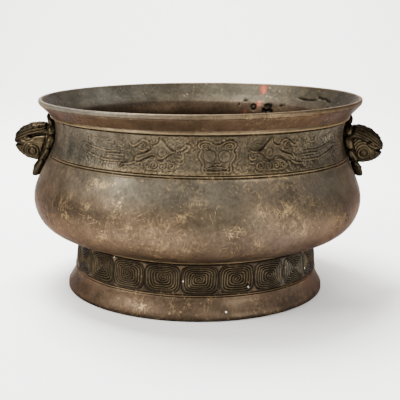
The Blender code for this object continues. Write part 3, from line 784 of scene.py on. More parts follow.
shared_strokes = [
    ([(28.8, 6.2), (26.9, 4.1), (23.5, 4.3), (20.1, 7), (16.3, 9.1), (12.9, 8.2), (12.2, 6.6)], 1.9, 0.65),
    ([(20.4, 7.6), (17.4, 7.2), (15.2, 5.2), (16.6, 3.6)], 1.3, 0.45),
    ([(12.9, 1.4), (15.4, 0.6), (19.6, 0.2)], 1.1, 0.4),
    ([(-10.8, -4), (-13.4, -5.6), (-16.4, -4.8), (-17, -2)], 1.4, 0.5),
    ([(-13.6, -8.6), (-16.6, -8.2), (-17.4, -5.9)], 1.1, 0.35),
    ([(22.6, -8.4), (26.1, -10.2), (30.4, -11.2), (34.2, -11.4), (36.4, -14)], 1.5, 0.65),
    ([(34.9, -2.2), (44, -2), (53, -2.4), (66, -0.6), (80, 2)], 1.1, 0.55),
    ([(33.6, -4.8), (44, -4.7), (54, -5)], 0.9, 0.4),
    ([(33, -9.2), (44, -9.6), (55, -9.5), (68, -7.2), (84, -3.4)], 1.2, 0.6),
    ([(33.6, -9.6), (34.6, -12), (36.2, -13.8)], 1.1, 0.45),
    ([(55, -9.8), (55.6, -12), (54.8, -13.8)], 1.0, 0.4),
    ([(44, 5.2), (49, 5), (50.6, 6.2), (51, 9)], 1.1, 0.5),
    ([(36, 2.4), (39.6, 3.4), (38.6, 6.6), (35.8, 6)], 1.0, 0.35),
    ([(69, 7.6), (72.6, 9.4), (74.6, 6.4), (74, 2.8)], 1.2, 0.5),
    ([(62, 5.2), (64.4, 7.6), (66, 5)], 0.9, 0.35),
]
plain_strokes = 6
left_curls = [
    ([(-11.8, 1.6), (-15.2, 2.4), (-17.6, 4.4), (-19.3, 6.2), (-21.4, 5), (-20.4, 2.4), (-18, 0.8)], 2.3, 0.7),
]
right_horn = [
    ([(-18.5, 4.2), (-16.4, 1.6), (-13.2, 0.3), (-8.9, 0.5), (-5.4, 2.4)], 1.5, 0.6),
    ([(-14.5, 7.0), (-11.0, 8.6), (-7.0, 7.4)], 1.2, 0.4),
]


def placed(shape, side, origin):
    """A figure's points mirrored by side and moved to the figure's own middle on the unrolled ring."""
    return [(origin[0] + side * x, origin[1] + y) for x, y in shape]


def add_mask(relief, origin):
    """The mask: a raised plate with a double outline, curled horns, domed eyes, nose, lip and jaw."""
    outline = mask_half + [(0, 9.2)] + [(-x, y) for x, y in reversed(mask_half[1:])]
    depth, part = relief.plate(rounded(placed(outline, 1, origin), True), 0.7)
    relief.height[part] += 0.2 * bump((depth - 0.9) / 0.5) - 0.5 * bump((depth - 2.2) / 0.6)
    for side in (1, -1):
        relief.dome(placed([(6, 0.2)], side, origin)[0], 4.8, 1.0, 0.5)
        relief.stroke(placed(horn, side, origin), 1.5, 0.7, 0.5)
    for path, width in ((jaw, 1.6), (lip, 1.2), (nose, 1.4)):
        relief.stroke(placed(path, 1, origin), width, 0.7, 0.5)
    for x, y in ((0, 11.6), (0, 7), (-2.4, 7.6), (2.4, 7.6)):
        relief.stroke(placed([(x, y + 0.9), (x, y - 0.9)], 1, origin), 1.0, 0.4)


def add_dragon(relief, origin, side, plain):
    """The dragon: a smooth head plate with its eye, clouds of scrolls, and strokes for hair and body."""
    relief.plate(rounded(placed(dragon_cloud, side, origin), True), 0.45)
    for x, y, radius in cloud_scrolls:
        relief.scroll(placed([(x, y)], side, origin)[0], radius, 0.9)
    relief.plate(rounded(placed(dragon_head, side, origin), True), 1.1)
    relief.dome(placed([(0.2, 0)], side, origin)[0], 3.4, 0.35, 0.8)
    own = left_curls if side < 0 else right_horn
    for path, width, rise in own + shared_strokes[:plain_strokes if plain else None]:
        relief.stroke(placed(path, side, origin), width + 0.3, 1.2 * rise, 0.35)


print("strokes in a dragon:", len(left_curls + shared_strokes))

# %% The frieze's ring
frieze_columns = 1500
frieze_rows = 58
band_gap = 0.02
band_wear = 0.3
worn_middle = 212
worn_width = 26


def hidden_rows(radius_at, low, high):
    """The ring's back as (radius, level) rows down the channel's floor, with a step at each end."""
    back = np.concatenate([[high], np.linspace(high - 0.02, low + 0.02, 5), [low]])
    behind = np.full(len(back), channel_depth - 0.1)
    behind[[0, -1]] = 0.5
    return np.stack([radius_at(back) - behind, back], -1)


def make_band(name, radius_at, low, high, rows, columns, height_at, colour_at):
    """A closed ring: its outer rows carry the relief, and a few rows behind close it."""
    low, high = low + band_gap, high - band_gap
    around = full_turn * np.arange(columns) / columns
    angle, level = np.meshgrid(around, np.linspace(low, high, rows))
    height_map = height_at(angle, level) * (smooth((level - low) / 0.5) * smooth((high - level) / 0.5))
    front = round_axis(radius_at(level) + height_map, angle, level)
    behind = hidden_rows(radius_at, low, high)
    back_angle, back_level = np.meshgrid(around, behind[:, 1])
    back = round_axis(behind[:, :1] + 0 * back_angle, back_angle, back_level)
    colours = np.concatenate([colour_at(angle, level, height_map), np.broadcast_to(groove_and_shade_dark, back.shape)])
    return make_piece(name, np.concatenate([front, back]), with_share(colours, band_wear), meets=True)


def frieze_heights(angle, level):
    """Specks of the punched ground, then the figures of both halves; the back's are the plainer ones."""
    cloud = partial(patches, angle, level)
    radius = skin_radius((frieze_low + frieze_high) / 2)
    relief = Relief(angle * radius, level)
    for middle, plain in ((270 + mask_angle, False), (90 + mask_angle, True)):
        origin = middle * degree * radius
        add_mask(relief, (origin, mask_level))
        for side in (1, -1):
            eye = origin + side * dragon_angle * degree * radius
            add_dragon(relief, (eye, dragon_level), side, plain)
    ground = 1 - smooth((relief.height - 0.1) / 0.3)
    specks = smooth(0.5 + 2.0 * (cloud(1.15, 21) - 0.5))
    smoothed = bump(degrees_from(angle, worn_middle) / worn_width)
    worn = (0.6 + 0.4 * smooth((cloud(24, 23) - 0.3) * 3)) * (1 - 0.75 * smoothed)
    relief.height += ground * worn * 0.6 * (specks - 0.5)
    relief.height += (1 - ground) * 0.1 * (cloud(3, 24) - 0.5)
    return relief.height


def frieze_tones(angle, level, height_map):
    """Olive on the ground, dark where a point lies lower than those round it, paler where it lies higher."""
    cloud, near = partial(patches, angle, level), partial(spot, angle, level)
    standing = height_map - local_mean(height_map)
    worn = smooth((cloud(9, 33) - 0.2) * 2)
    return layered(
        frieze_olive,
        (olive_grey, smooth((cloud(30, 31) - 0.3) * 2)),
        (brown_grey, 0.5 * smooth((cloud(18, 32) - 0.5) * 3)),
        # Painted highlight: cool pale grey on the left part of the frieze.
        (painted_light_grey, 0.26 * near(214, 147, 60, 40)),
        (0.6 * frieze_olive, 0.5 * near(290, 147, 34, 40)),
        # Painted light: cool pale grey on the right part of the frieze.
        (painted_light_grey, 0.3 * near(326, 147, 34, 40)),
        # Painted highlight, not wear: a tan band along the foot of the frieze, where the neck catches light
        # from above.
        (rubbed_and_highlight_tan, 0.24 * smooth((134.5 - level) / 5) * near(258, 130, 110, 30)),
        (groove_and_shade_dark, 0.6 * smooth(-(standing + 0.02) / 0.4)),
        (rubbed_and_highlight_tan, 0.22 * smooth((standing - 0.03) / 0.35) * (0.4 + 0.6 * worn)),
    )


neck_frieze = make_band("neck_frieze", skin_radius, frieze_low, frieze_high, frieze_rows, frieze_columns,
                        frieze_heights, frieze_tones)

# %% [markdown]
# The foot carries a row of squared spirals, one of the oldest patterns on cast bronze. Each was pressed into
# the mould on its own, so no two are quite alike: their middles, their number of turns and the way that they
# wind differ a little. A spiral is a wave of the distance from the middle, measured so that lines of equal
# distance are round near the middle and squarer towards the edge, that advances by one pitch in each turn.

# %% The band of squared spirals
tile_count = 22
tile_first = 2.0
tile_rib = 1.3
tile_margin = 1.0
tile_groove = 0.85
tile_square = 4.2
band_columns = 1320
band_rows = 66


def squared(x, y, power):
    """Distance from the middle whose lines of equal distance are squarer the higher the power."""
    return (np.abs(x) ** power + np.abs(y) ** power) ** (1 / power)


def tile_places(angle, level):
    """Each point's tile number and its place from the tile's middle, in half lengths and half heights."""
    pitch = full_turn / tile_count
    turns = (angle - tile_first * degree) / pitch
    number = np.floor(turns).astype(int) % tile_count
    middle = (foot_band_low + foot_band_high) / 2
    length = pitch * foot_radius(middle)
    half_height = (foot_band_high - foot_band_low) / 2 - tile_margin
    return number, (turns % 1 - 0.5) * length / (length / 2 - tile_rib), (level - middle) / half_height


def spiral_heights(angle, level):
    """Grooves between the turns of each spiral, a groove round it, and a plain rib between neighbours."""
    number, x, y = tile_places(angle, level)
    chance = np.random.default_rng(41)
    turns = chance.uniform(6.2, 7.1, tile_count)[number]
    winding = chance.choice([-1, 1], tile_count)[number]
    shift_x = chance.uniform(-0.1, 0.1, tile_count)[number]
    shift_y = chance.uniform(-0.12, 0.12, tile_count)[number]
    free = 1 - smooth(squared(x, y, 4))
    dx, dy = x - shift_x * free, y - shift_y * free
    round_distance = np.hypot(dx, dy)
    distance = round_distance + (squared(dx, dy, tile_square) - round_distance) * smooth(round_distance * 1.5)
    distance += 0.04 * (patches(angle, level, 4, 42) - 0.5)
    wave = 0.5 + 0.5 * np.cos(full_turn * (turns * distance - winding * np.arctan2(dy, dx) / full_turn))
    height_map = -tile_groove * (1 - wave) * smooth((1.01 - distance) / 0.05)
    height_map -= 0.7 * bump((distance - 1.05) / 0.045)
    return height_map + 0.1 * (patches(angle, level, 2, 43) - 0.5)


def spiral_tones(angle, level, height_map):
    """Nearly black in the grooves, dark olive on the turns, and browner, paler ribs between the tiles."""
    _, x, y = tile_places(angle, level)
    crest = smooth((height_map + 0.3) / 0.3) * smooth((patches(angle, level, 7, 45) - 0.2) * 2)
    return layered(
        frieze_olive,
        (dark_brown, 0.5 + 0.5 * patches(angle, level, 8, 44)),
        (tile_olive, smooth((1.03 - squared(x, y, tile_square)) / 0.06)),
        # Painted light: cool pale grey on the right part of the band.
        (painted_light_grey, 0.3 * spot(angle, level, 322, 34, 44, 30)),
        (groove_and_shade_dark, 0.9 * smooth(-(height_map + 0.1) / 0.55)),
        (rubbed_and_highlight_tan, 0.13 * crest),
    )


foot_band = make_band("foot_band", foot_radius, foot_band_low, foot_band_high, band_rows, band_columns,
                      spiral_heights, spiral_tones)

# %% [markdown]
# Each handle is a beast's head that grows out of a ruff of eight leaf-shaped locks. The whole handle is one
# closed grid: its columns run round the head, and its rows go from the middle of the hidden back out to the
# ruff's edge, over the leaves and along the head to the nose. The carving is then pushed out along the
# surface's own normals, so locks and rings keep their depth wherever the head curves.

# %% The handle's sizes
handle_seat = 0.8
ruff_level = 137.0
ruff_half_width = 25.5
ruff_half_height = 23.6
ruff_thickness = 7.4
ruff_half_thickness = 3.4
ruff_recess = 5.4
head_level = 135.7
head_half_height = 18.0
head_half_width = 16.0
head_root = neck_waist_radius + ruff_thickness
head_tip = head_root + handle_seat + 32.3
head_straight = 9.0
head_taper = 1.9
handle_columns = 300


def leaf_side(angle, leaf_ends):
    """From -1 to 1 across each leaf. The ruff's two halves mirror each other, and on each the leaves end at
    leaf_ends, in degrees up from the side, between half a leaf at the bottom and half a leaf at the top."""
    upwards = np.arcsin(np.clip(np.sin(angle), -1, 1)) / degree
    leaves = np.interp(upwards, (-90.0, *leaf_ends, 90.0), (-2.0, -1.5, -0.5, 0.5, 1.5, 2.0))
    return (leaves + 0.5) % 1 * 2 - 1


def ruff_outline(angle, side, tongue):
    """The ruff's edge as (across, up): an ellipse drawn in between the leaves, with a tongue below and a
    short tip above."""
    reach = 1 - 0.10 * side ** 2
    below = np.abs(degrees_from(angle, -90))
    lower = tongue * np.clip(1 - (below / 24) ** 2, 0, 1)
    tip = 3.0 * np.maximum(np.sin(angle), 0) ** 12
    return ruff_half_width * reach * np.cos(angle), (ruff_half_height * reach + lower + tip) * np.sin(angle)


def on_skin(across, level, raised):
    """Points that stand off the neck or the shoulder, as (outwards, across, up): the distance across is
    wound round the skin at that level."""
    radius = skin_radius(np.minimum(level, neck_top - 0.1))
    turn = across / radius
    return np.stack([(radius + raised) * np.cos(turn), (radius + raised) * np.sin(turn), level + 0 * turn], -1)


print("head reaches", round(head_tip, 1), "mm from the axis")

# %% The handle's smooth form
edge_turn = np.linspace(-np.pi / 2, np.pi / 2, 24)
face_inwards = np.linspace(0.02, 1, 26)


def ruff_rows(angle, side, tongue, stand):
    """Rows over a backing plate to the ruff's edge, round the leaves' plump edges, whose middles stand off the
    neck, and over their faces to the foot of the head. The top leaf's edge is thin, so it ends in a point, and
    the tongue lies close to the shoulder at its tip and stands off where it leaves the chin."""
    across, up = ruff_outline(angle, side, tongue)
    plump = ruff_half_thickness * np.sqrt(1 - 0.88 * side ** 2)
    lowest, highest = np.maximum(-np.sin(angle), 0) ** 8, np.maximum(np.sin(angle), 0) ** 8
    middle = stand + (3.2 - stand) * lowest + (4.8 - stand) * highest
    plate = 1 - 0.12 * lowest
    rows = [(share * plate, 0 * plump) for share in (0.05, 0.3, 0.56, 0.78, 0.97)]
    rows += [(0.92 * plate, 0.6 * (middle - plump))]
    edge = plump * (1 - 0.6 * highest + 0.3 * lowest)
    start, round_end = 0.95 - 0.07 * lowest, 0.07 + 0.07 * lowest
    rows += [(start + round_end * np.cos(turn), middle + edge * np.sin(turn)) for turn in edge_turn]
    for inwards in face_inwards:
        crown = middle + edge + (plump - edge) * smooth(inwards / 0.4) * (1 - lowest)
        sinking = smooth((inwards - 0.2) / 0.6) * (1 - lowest) + inwards * lowest
        share = start + (0.72 - start) * inwards
        rows.append((share, crown + (ruff_recess + 3.6 * lowest - crown) * sinking))
    return np.stack([on_skin(across * s, ruff_level + up * s, handle_seat + thick) for s, thick in rows])


def head_rows(angle, chin_height):
    """Rows from the foot of the head to the nose: an ellipse, less high below than above, that shrinks to a
    blunt end."""
    share = np.sin(np.linspace(0.02, 0.497, 128) * np.pi)[:, None]
    up = np.where(np.sin(angle) > 0, head_half_height, chin_height) * np.sin(angle)
    across = head_half_width * np.cos(angle)
    base = on_skin(across, head_level + up, handle_seat + ruff_recess)[:, 0]
    outwards = base + (head_tip - base) * share
    run = np.clip((outwards - head_root - head_straight) / (head_tip - head_root - head_straight), 0, 0.9999)
    size = np.sqrt(1 - run ** head_taper)
    return np.stack([outwards, across * size, head_level + up * size], -1)


handle_angle = full_turn * np.arange(handle_columns) / handle_columns
print("points round a handle:", len(handle_angle))

# %% [markdown]
# The face follows the animal's own carving. Locks of hair run back along the top, and a hollow parts them from
# the cheek. Round the cheek run rings like ripples, with an oval eye in front of them, a nostril over the blunt
# muzzle and a slit for the mouth. All of it is read from the side, as distances from a few places in the
# profile, so both sides of a head get it alike. The two heads aren't twins: the right one nods, its rings run
# on above the cheek, and its eye has a pit for the pupil where the left one's is smooth.

# %% Carving of the head
eye_place = (19.4, 4.6)
nostril_place = (28.2, 3.4)
chin_place = (24.5, -8.4)
lock_place = (6.2, 14.4)
cheek_reach = 13.2
ring_pitch = 2.6
flat_radius = 134.0


def brow_line(reach):
    """Height of the hollow between the locks and the cheek, over the head's middle."""
    return 9.6 + 0.02 * reach - 0.0105 * reach ** 2


def boss(reach, up, place, long, high, rise, pit):
    """A small oval boss with a groove round it and, where pit isn't nothing, a hole in its middle."""
    distance = np.hypot((reach - place[0]) / long, (up - place[1] + 0.12 * (reach - place[0])) / high)
    return rise * (bump(distance / 0.9) - 0.9 * bump((distance - 1.5) / 0.4)) - pit * bump(distance / 0.45)


def head_places(points):
    """Each point's place in the profile: its reach, its height, its height over the brow as a share, and how
    far it lies to the side."""
    reach, up = points[..., 0] - head_root, points[..., 2] - head_level
    run = np.clip((reach - head_straight) / (head_tip - head_root - head_straight), 0, 0.999)
    top = head_half_height * np.sqrt(1 - run ** head_taper)
    lock = (up - brow_line(reach)) / np.maximum(top - brow_line(reach), 3.0) - 0.28 * smooth((7 - reach) / 8)
    return reach, up, lock, smooth((np.abs(points[..., 1]) / head_half_width - 0.1) / 0.25)


def head_carving(points, cheek_drop, ringed_above, pit, lock_pit, mouth_up):
    """Height of the carving over the smooth head, from each point's place in the profile."""
    reach, up, lock, sideways = head_places(points)
    banded = smooth((0.66 - lock) / 0.2) * smooth(lock / 0.06)
    locks = 0.65 * np.cos(full_turn * (lock / 0.25 - 0.65)) * banded + 0.9 * smooth((lock - 0.5) / 0.3)
    grains = 0.9 * (patches(reach / flat_radius, up, 1.6, 53) - 0.5) * smooth((lock - 0.5) / 0.2)
    parting = -0.9 * bump((lock - 0.9) / 0.03)
    hollow = (1.5 * ringed_above - 2.6) * bump((up - brow_line(reach) + 0.8) / 1.7) * smooth((25 - reach) / 7)
    hollow = hollow * sideways
    cheek = np.hypot(reach - cheek_reach, up - cheek_drop)
    below_brow = smooth((brow_line(reach) - 2.8 + 1.6 * ringed_above - up) / 3.2)
    forward = smooth((reach - cheek_reach - up + cheek_drop + 5) / 6)
    ringed = np.maximum(forward, np.maximum(ringed_above, smooth((8 - cheek) / 1.5)))
    ripple = (0.45 - 0.15 * ringed_above) * np.cos(full_turn * cheek / ring_pitch + 0.4)
    ripple = ripple * smooth((19 - cheek) / 5) * ringed
    uneven = 0.55 * bump((up - 1.8) / 1.0) * bump((reach - 10) / 6) + 0.4 * bump((up + 1.2) / 0.8)
    streaks = uneven * smooth((reach - 2) / 3) * (1 - ringed)
    curl = 0.45 * bump(cheek / 1.4) - 0.8 * bump((cheek - 2.9) / 0.9)
    cheeks = 1.4 * bump(cheek / 7) * sideways
    features = boss(reach, up, eye_place, 2.9, 1.8, 1.1, pit)
    features += boss(reach, up, nostril_place, 1.6, 1.4, 0.3, 0.9)
    features += boss(reach, up, chin_place, 2.0, 2.0, 0.5, 0.3)
    features += boss(reach, up, lock_place, 5.0, 2.4, 0.2, lock_pit)
    plain_round_eye = 1 - bump(np.hypot(reach - eye_place[0], up - eye_place[1]) / 4.2)
    slit = smooth((reach - 20) / 8)
    mouth = 0.3 * (bump((up - mouth_up - 2.3) / 1.0) + bump((up - mouth_up + 2.5) / 1.2)) * slit
    notch = -2.2 * bump((up - mouth_up) / 0.9) * slit
    carving = locks + grains + parting + hollow + cheeks + mouth + sideways * (
        features + (ripple + streaks + curl) * below_brow * plain_round_eye)
    return carving * smooth((head_tip - head_root - reach) / 3) + notch


def ruff_carving(side):
    """A hollow with a raised rim along each leaf, on its edge and on its face, a vein along its middle, and a
    deep cut between leaves."""
    edge = edge_turn[:, None]
    on_edge = -0.4 * bump(edge / 0.5) * smooth((0.8 - np.abs(side)) / 0.4)
    inwards = face_inwards[:, None]
    rim = np.hypot(side, (inwards - 0.5) * 1.6)
    vein = 0.3 * bump(side / 0.12) * bump(rim / 0.6)
    on_face = 0.4 * bump((rim - 0.75) / 0.2) - 0.15 * bump(rim / 0.5) + vein
    cut = bump((1 - np.abs(side)) / 0.12)
    leaves = np.concatenate([on_edge - 0.9 * cut, on_face - 1.5 * cut * smooth((1 - inwards) / 0.2)])
    return np.concatenate([np.zeros((6, len(side))), leaves])


def normals(grid):
    """Unit normals of a grid: the cross product of the steps along its rows and its columns."""
    around = np.roll(grid, -1, axis=1) - np.roll(grid, 1, axis=1)
    across = np.gradient(grid, axis=0)
    square = np.cross(around, across)
    return square / np.maximum(np.linalg.norm(square, axis=-1, keepdims=True), 1e-9)


print("the face has its eye", eye_place[0], "mm in front of the ruff")

# %% Both handles


def nodded(points, nod, lift):
    """The head's nod and its lift, which fade in over its first rows: a turn about its root, seen from the
    side, and a shift upwards."""
    share = smooth(np.arange(len(points)) / 14)[:, None]
    reach, up = points[..., 0] - head_root, points[..., 2] - head_level
    outwards = head_root + reach * np.cos(nod * share) + up * np.sin(nod * share)
    upwards = head_level + lift * share + up * np.cos(nod * share) - reach * np.sin(nod * share)
    return np.stack([outwards, points[..., 1], upwards], -1)


def handle_tones(carving, points, lit_share):
    """Nearly black in the hollows, dark along the top, olive-brown between, and golden on the cheek and the
    leaves where hands have rubbed. The share of light is painted light: it scales the gold and the dark and is
    lower on the right handle, which stands in shade. The back rows are painted shade against the neck."""
    reach, up, lock, _ = head_places(points)
    standing = carving - local_mean(carving, 4, 4)
    uneven = 0.5 + patches(reach / flat_radius, up, 7, 51)
    # Painted light: the rubbed gold is scaled by the handle's share of light.
    rubbed = lit_share * (0.25 + 0.75 * bump(np.hypot((reach - 6) / 15, (up - 2) / 6.5)) * uneven)
    jaw = smooth((reach - 0.8 * up - 16) / 12) * smooth((reach - 6) / 6)
    behind = smooth((11 - np.arange(len(carving))) / 5)[:, None]
    return layered(
        handle_olive,
        (handle_gold, 0.38 * rubbed * smooth((2 - lock) * 2)),
        (groove_and_shade_dark, (0.35 + 0.3 * lit_share) * smooth(lock / 0.4) * (reach > -1)),
        (groove_and_shade_dark, 0.5 * smooth((reach - 22) / 8)),
        (groove_and_shade_dark, 0.45 * lit_share * jaw),
        (groove_and_shade_dark, 0.8 * smooth(-(standing + 0.03) / 0.5)),
        (groove_and_shade_dark, 0.8 * smooth(-(carving + 0.9) / 0.9)),
        (handle_gold, 0.48 * smooth((standing - 0.05) / 0.45) * (0.3 * lit_share + 0.7 * rubbed)),
        # Painted shade: the back rows, in the gap against the neck, are painted near black.
        (groove_and_shade_dark, 0.9 * behind + 0 * carving),
    )


def make_handle(name, out, leaf_ends, stand, tongue, chin_height, nod, lift, lit_share, **face):
    """Carve the smooth handle, nod its head, put it on its side of the neck and lean it with the casting."""
    side = leaf_side(handle_angle, leaf_ends)
    ruff_grid = ruff_rows(handle_angle, side, tongue, stand)
    head_grid = head_rows(handle_angle, chin_height)
    smooth_handle = np.concatenate([ruff_grid, head_grid])
    rows = np.arange(len(head_grid))[:, None]
    head_height = head_carving(head_grid, **face) * smooth(rows / 4) - 0.9 * bump(rows / 3)
    carving = np.concatenate([ruff_carving(side), head_height])
    outward = normals(smooth_handle)
    if outward[-20:, :, 0].mean() < 0:
        outward = -outward
    carved = smooth_handle + outward * carving[..., None]
    carved[len(ruff_grid):] = nodded(carved[len(ruff_grid):], nod, lift)
    grid = out_of_true(out * carved[..., 0], carved[..., 1], carved[..., 2])
    return make_piece(name, grid, with_share(handle_tones(carving, smooth_handle, lit_share)))


# The share of light is painted light: the right handle stands in shade, so its gold and contrast are lower.
left_handle = make_handle(
    "left_beast_handle", -1, leaf_ends=(-58.0, -14.7, 19.8, 49.7), stand=2.4, tongue=11.2, chin_height=18.0,
    nod=0.0, lift=0.0, lit_share=1.0, cheek_drop=-7.4, ringed_above=0.0, pit=0.0, lock_pit=1.3, mouth_up=-2.4)
right_handle = make_handle(
    "right_beast_handle", 1, leaf_ends=(-45.0, -6.5, 28.6, 64.5), stand=3.9, tongue=7.4, chin_height=15.6,
    nod=14 * degree, lift=2.2, lit_share=0.75, cheek_drop=-4.4, ringed_above=1.0, pit=1.4, lock_pit=1.6,
    mouth_up=1.0)

# %% [markdown]
# Patinated bronze is a metal under a thin, half-clear skin of oxides, so it shines softly and never like a
# mirror: partly metallic, fairly rough, and with small changes of gloss. The shader starts from each point's
# own tone and adds what is finer than the mesh: mottling, pale specks, and on the smooth belly the short
# random scratches that long handling leaves.

# %% Nodes of the finishes
stepped = {"interpolation_type": "SMOOTHSTEP"}


def node(tree, kind, inputs=(), out=0, **settings):
    """Add one node and give one of its outputs. The inputs are sockets or values, in the node's own order or
    by name, and the settings are the node's own options."""
    made = tree.nodes.new("ShaderNode" + kind)
    for key, value in settings.items():
        setattr(made, key, value)
    for key, value in inputs.items() if isinstance(inputs, dict) else enumerate(inputs):
        if isinstance(value, bpy.types.NodeSocket):
            tree.links.new(value, made.inputs[key])
        else:
            made.inputs[key].default_value = value
    return made.outputs[out]


def noise_scale(size_mm):
    """The scale at which a noise's patches are about size_mm wide."""
    return 0.7 / (size_mm * mm)


print("noise scale for patches of 2 mm:", noise_scale(2.0))

# %% Scratches, flecks and specks
scratch_layers = [(15, 30, 0.8), (62, 16, 0.9), (104, 42, 0.9), (151, 20, 0.9), (83, 10, 1.1), (128, 26, 0.8)]
white_specks = [(293.8, 26.8, 1.0), (283.2, 8.0, 0.9), (331.1, 29.9, 0.8), (264.9, 33.7, 0.6)]
white_specks += [(231.0, 47.2, 0.6)]
scratch_bend = (0.007, 0.007, 0.0)


def scratches(tree, skin):
    """Short strokes: in each layer the unrolled skin is turned, squeezed along the stroke and cut into random
    cells, and a stroke is what lies near the middle of some of the cells. Low noise bends and breaks it."""
    bend = node(tree, "TexNoise", {"Vector": skin, "Scale": 60.0, "Detail": 2.0}, "Color")
    bent = node(tree, "VectorMath", (bend, scratch_bend), operation="MULTIPLY")
    place = node(tree, "VectorMath", (skin, bent))
    found = 0.0
    for layer, (degrees, length, width) in enumerate(scratch_layers):
        turn = {"Vector": place, "Rotation": (0, 0, degrees * degree), "Location": (3.1 * layer, layer, 0)}
        squeeze = (1 / (length * mm), 1 / (width * mm), 0.0)
        cells = node(tree, "VectorMath", (node(tree, "Mapping", turn), squeeze), operation="MULTIPLY")
        gap = node(tree, "TexVoronoi", {"Vector": cells, "Scale": 1.0}, voronoi_dimensions="2D")
        chance = node(tree, "SeparateColor", (gap.node.outputs["Color"],))
        stroke = node(tree, "MapRange", (gap, 0.34, 0.1), **stepped)
        kept = node(tree, "MapRange", (chance, 0.72, 1.0), **stepped)
        found = node(tree, "Math", (found, node(tree, "Math", (stroke, kept), operation="MULTIPLY")),
                     operation="MAXIMUM")
    breaks = node(tree, "TexNoise", {"Vector": skin, "Scale": noise_scale(2.2), "Detail": 3.0, "W": 8.0},
                  noise_dimensions="4D")
    whole = node(tree, "MapRange", (breaks, 0.4, 0.62), **stepped)
    return node(tree, "Math", (found, whole), operation="MULTIPLY")


def flecks(tree, place, wear):
    """Ragged tan flecks: fine noise that is let through where it and the wear together are high."""
    fine, coarse = (
        node(tree, "TexNoise", {"Vector": place, "Scale": noise_scale(size_mm), "Detail": detail, "W": offset},
             noise_dimensions="4D")
        for size_mm, detail, offset in ((1.3, 5.0, 9.0), (4.5, 4.0, 10.0)))
    both = node(tree, "Math", (fine, coarse))
    total = node(tree, "Math", (both, node(tree, "Math", (wear, 0.6), operation="MULTIPLY")))
    return node(tree, "MapRange", (total, 1.35, 1.7), **stepped)


def specks(tree, place, size_mm, chance_from):
    """Small round specks: the middles of some of the cells of a random pattern."""
    gap = node(tree, "TexVoronoi", {"Vector": place, "Scale": 1 / (size_mm * mm)})
    chance = node(tree, "SeparateColor", (gap.node.outputs["Color"],))
    dot = node(tree, "MapRange", (gap, 0.34, 0.18), **stepped)
    kept = node(tree, "MapRange", (chance, chance_from, 1.0), **stepped)
    return node(tree, "Math", (dot, kept), operation="MULTIPLY")


def near_places(tree, place):
    """1 within a speck's radius of a white speck, whose place is an angle and a level on the foot."""
    found = 0.0
    for degrees, level, radius in white_specks:
        point = round_axis(foot_radius(level), degrees * degree, np.float64(level)) * mm
        gap = node(tree, "VectorMath", (place, tuple(point)), "Value", operation="DISTANCE")
        speck = node(tree, "MapRange", (gap, radius * mm * 1.2, radius * mm * 0.6), **stepped)
        found = node(tree, "Math", (found, speck), operation="MAXIMUM")
    return found


print("scratch layers:", len(scratch_layers), "white specks:", len(white_specks))

# %% The bronze materials


def new_material(name):
    """A material and its one shader."""
    material = bpy.data.materials.new(name)
    material.use_nodes = True
    return material, material.node_tree.nodes["Principled BSDF"]


def patinated_bronze(name, roughness, metallic, grain_mm, grain_depth, mottled, dotted, worn=0.0, dusty=False):
    """Cast bronze with a brown or olive patina: each point's tone, mottled finely, rubbed and scratched to
    tan by the wear, over a softly uneven gloss and a fine cast grain."""
    material, shader = new_material(name)
    tree = material.node_tree
    shader.inputs["Metallic"].default_value = metallic
    shader.inputs["Specular Tint"].default_value = (*metal_sheen, 1)
    place = node(tree, "TexCoord", out="Object")
    patina = node(tree, "Attribute", out="Color", attribute_name="patina")
    wear = patina.node.outputs["Alpha"]
    plans = ((2.0, 5.0, 1.0), (14.0, 4.0, 2.0), (9.0, 4.0, 5.0), (grain_mm, 4.0, 6.0))
    fine, broad, glossy, grainy = (
        node(tree, "TexNoise", {"Vector": place, "Scale": noise_scale(size_mm), "Detail": detail, "W": offset},
             noise_dimensions="4D")
        for size_mm, detail, offset in plans)
    uneven = node(tree, "Math", (fine, broad))
    shade = node(tree, "MapRange", (uneven, 0.7, 1.3, 1 - mottled, 1 + mottled), **stepped)
    tone = node(tree, "VectorMath", {0: patina, "Scale": shade}, operation="SCALE")
    dotting = node(tree, "Math", (wear, dotted), operation="MULTIPLY")
    coats = [(rubbed_and_highlight_tan, specks(tree, place, 3.4, 0.84), dotting)]
    if worn:
        skin = node(tree, "Attribute", out="Vector", attribute_name="unrolled")
        scratched = node(tree, "MapRange", (wear, 0.12, 0.6), **stepped)
        coats += [(rubbed_and_highlight_tan, flecks(tree, place, wear), worn), (rubbed_and_highlight_tan, scratches(tree, skin), scratched)]
    if dusty:
        coats.append((chalk_white, near_places(tree, place), 1.0))
    for coat, pattern, strength in coats:
        share = node(tree, "Math", (pattern, strength), operation="MULTIPLY")
        tone = node(tree, "Mix", {0: share, 6: tone, 7: (*coat, 1)}, 2, data_type="RGBA")
    gloss = node(tree, "MapRange", (glossy, 0.3, 0.7, roughness - 0.07, roughness + 0.09), **stepped)
    grain = node(tree, "Bump", {"Height": grainy, "Strength": 0.6, "Distance": grain_depth * mm}, "Normal")
    for socket, value in (("Base Color", tone), ("Roughness", gloss), ("Normal", grain)):
        tree.links.new(value, shader.inputs[socket])
    return material


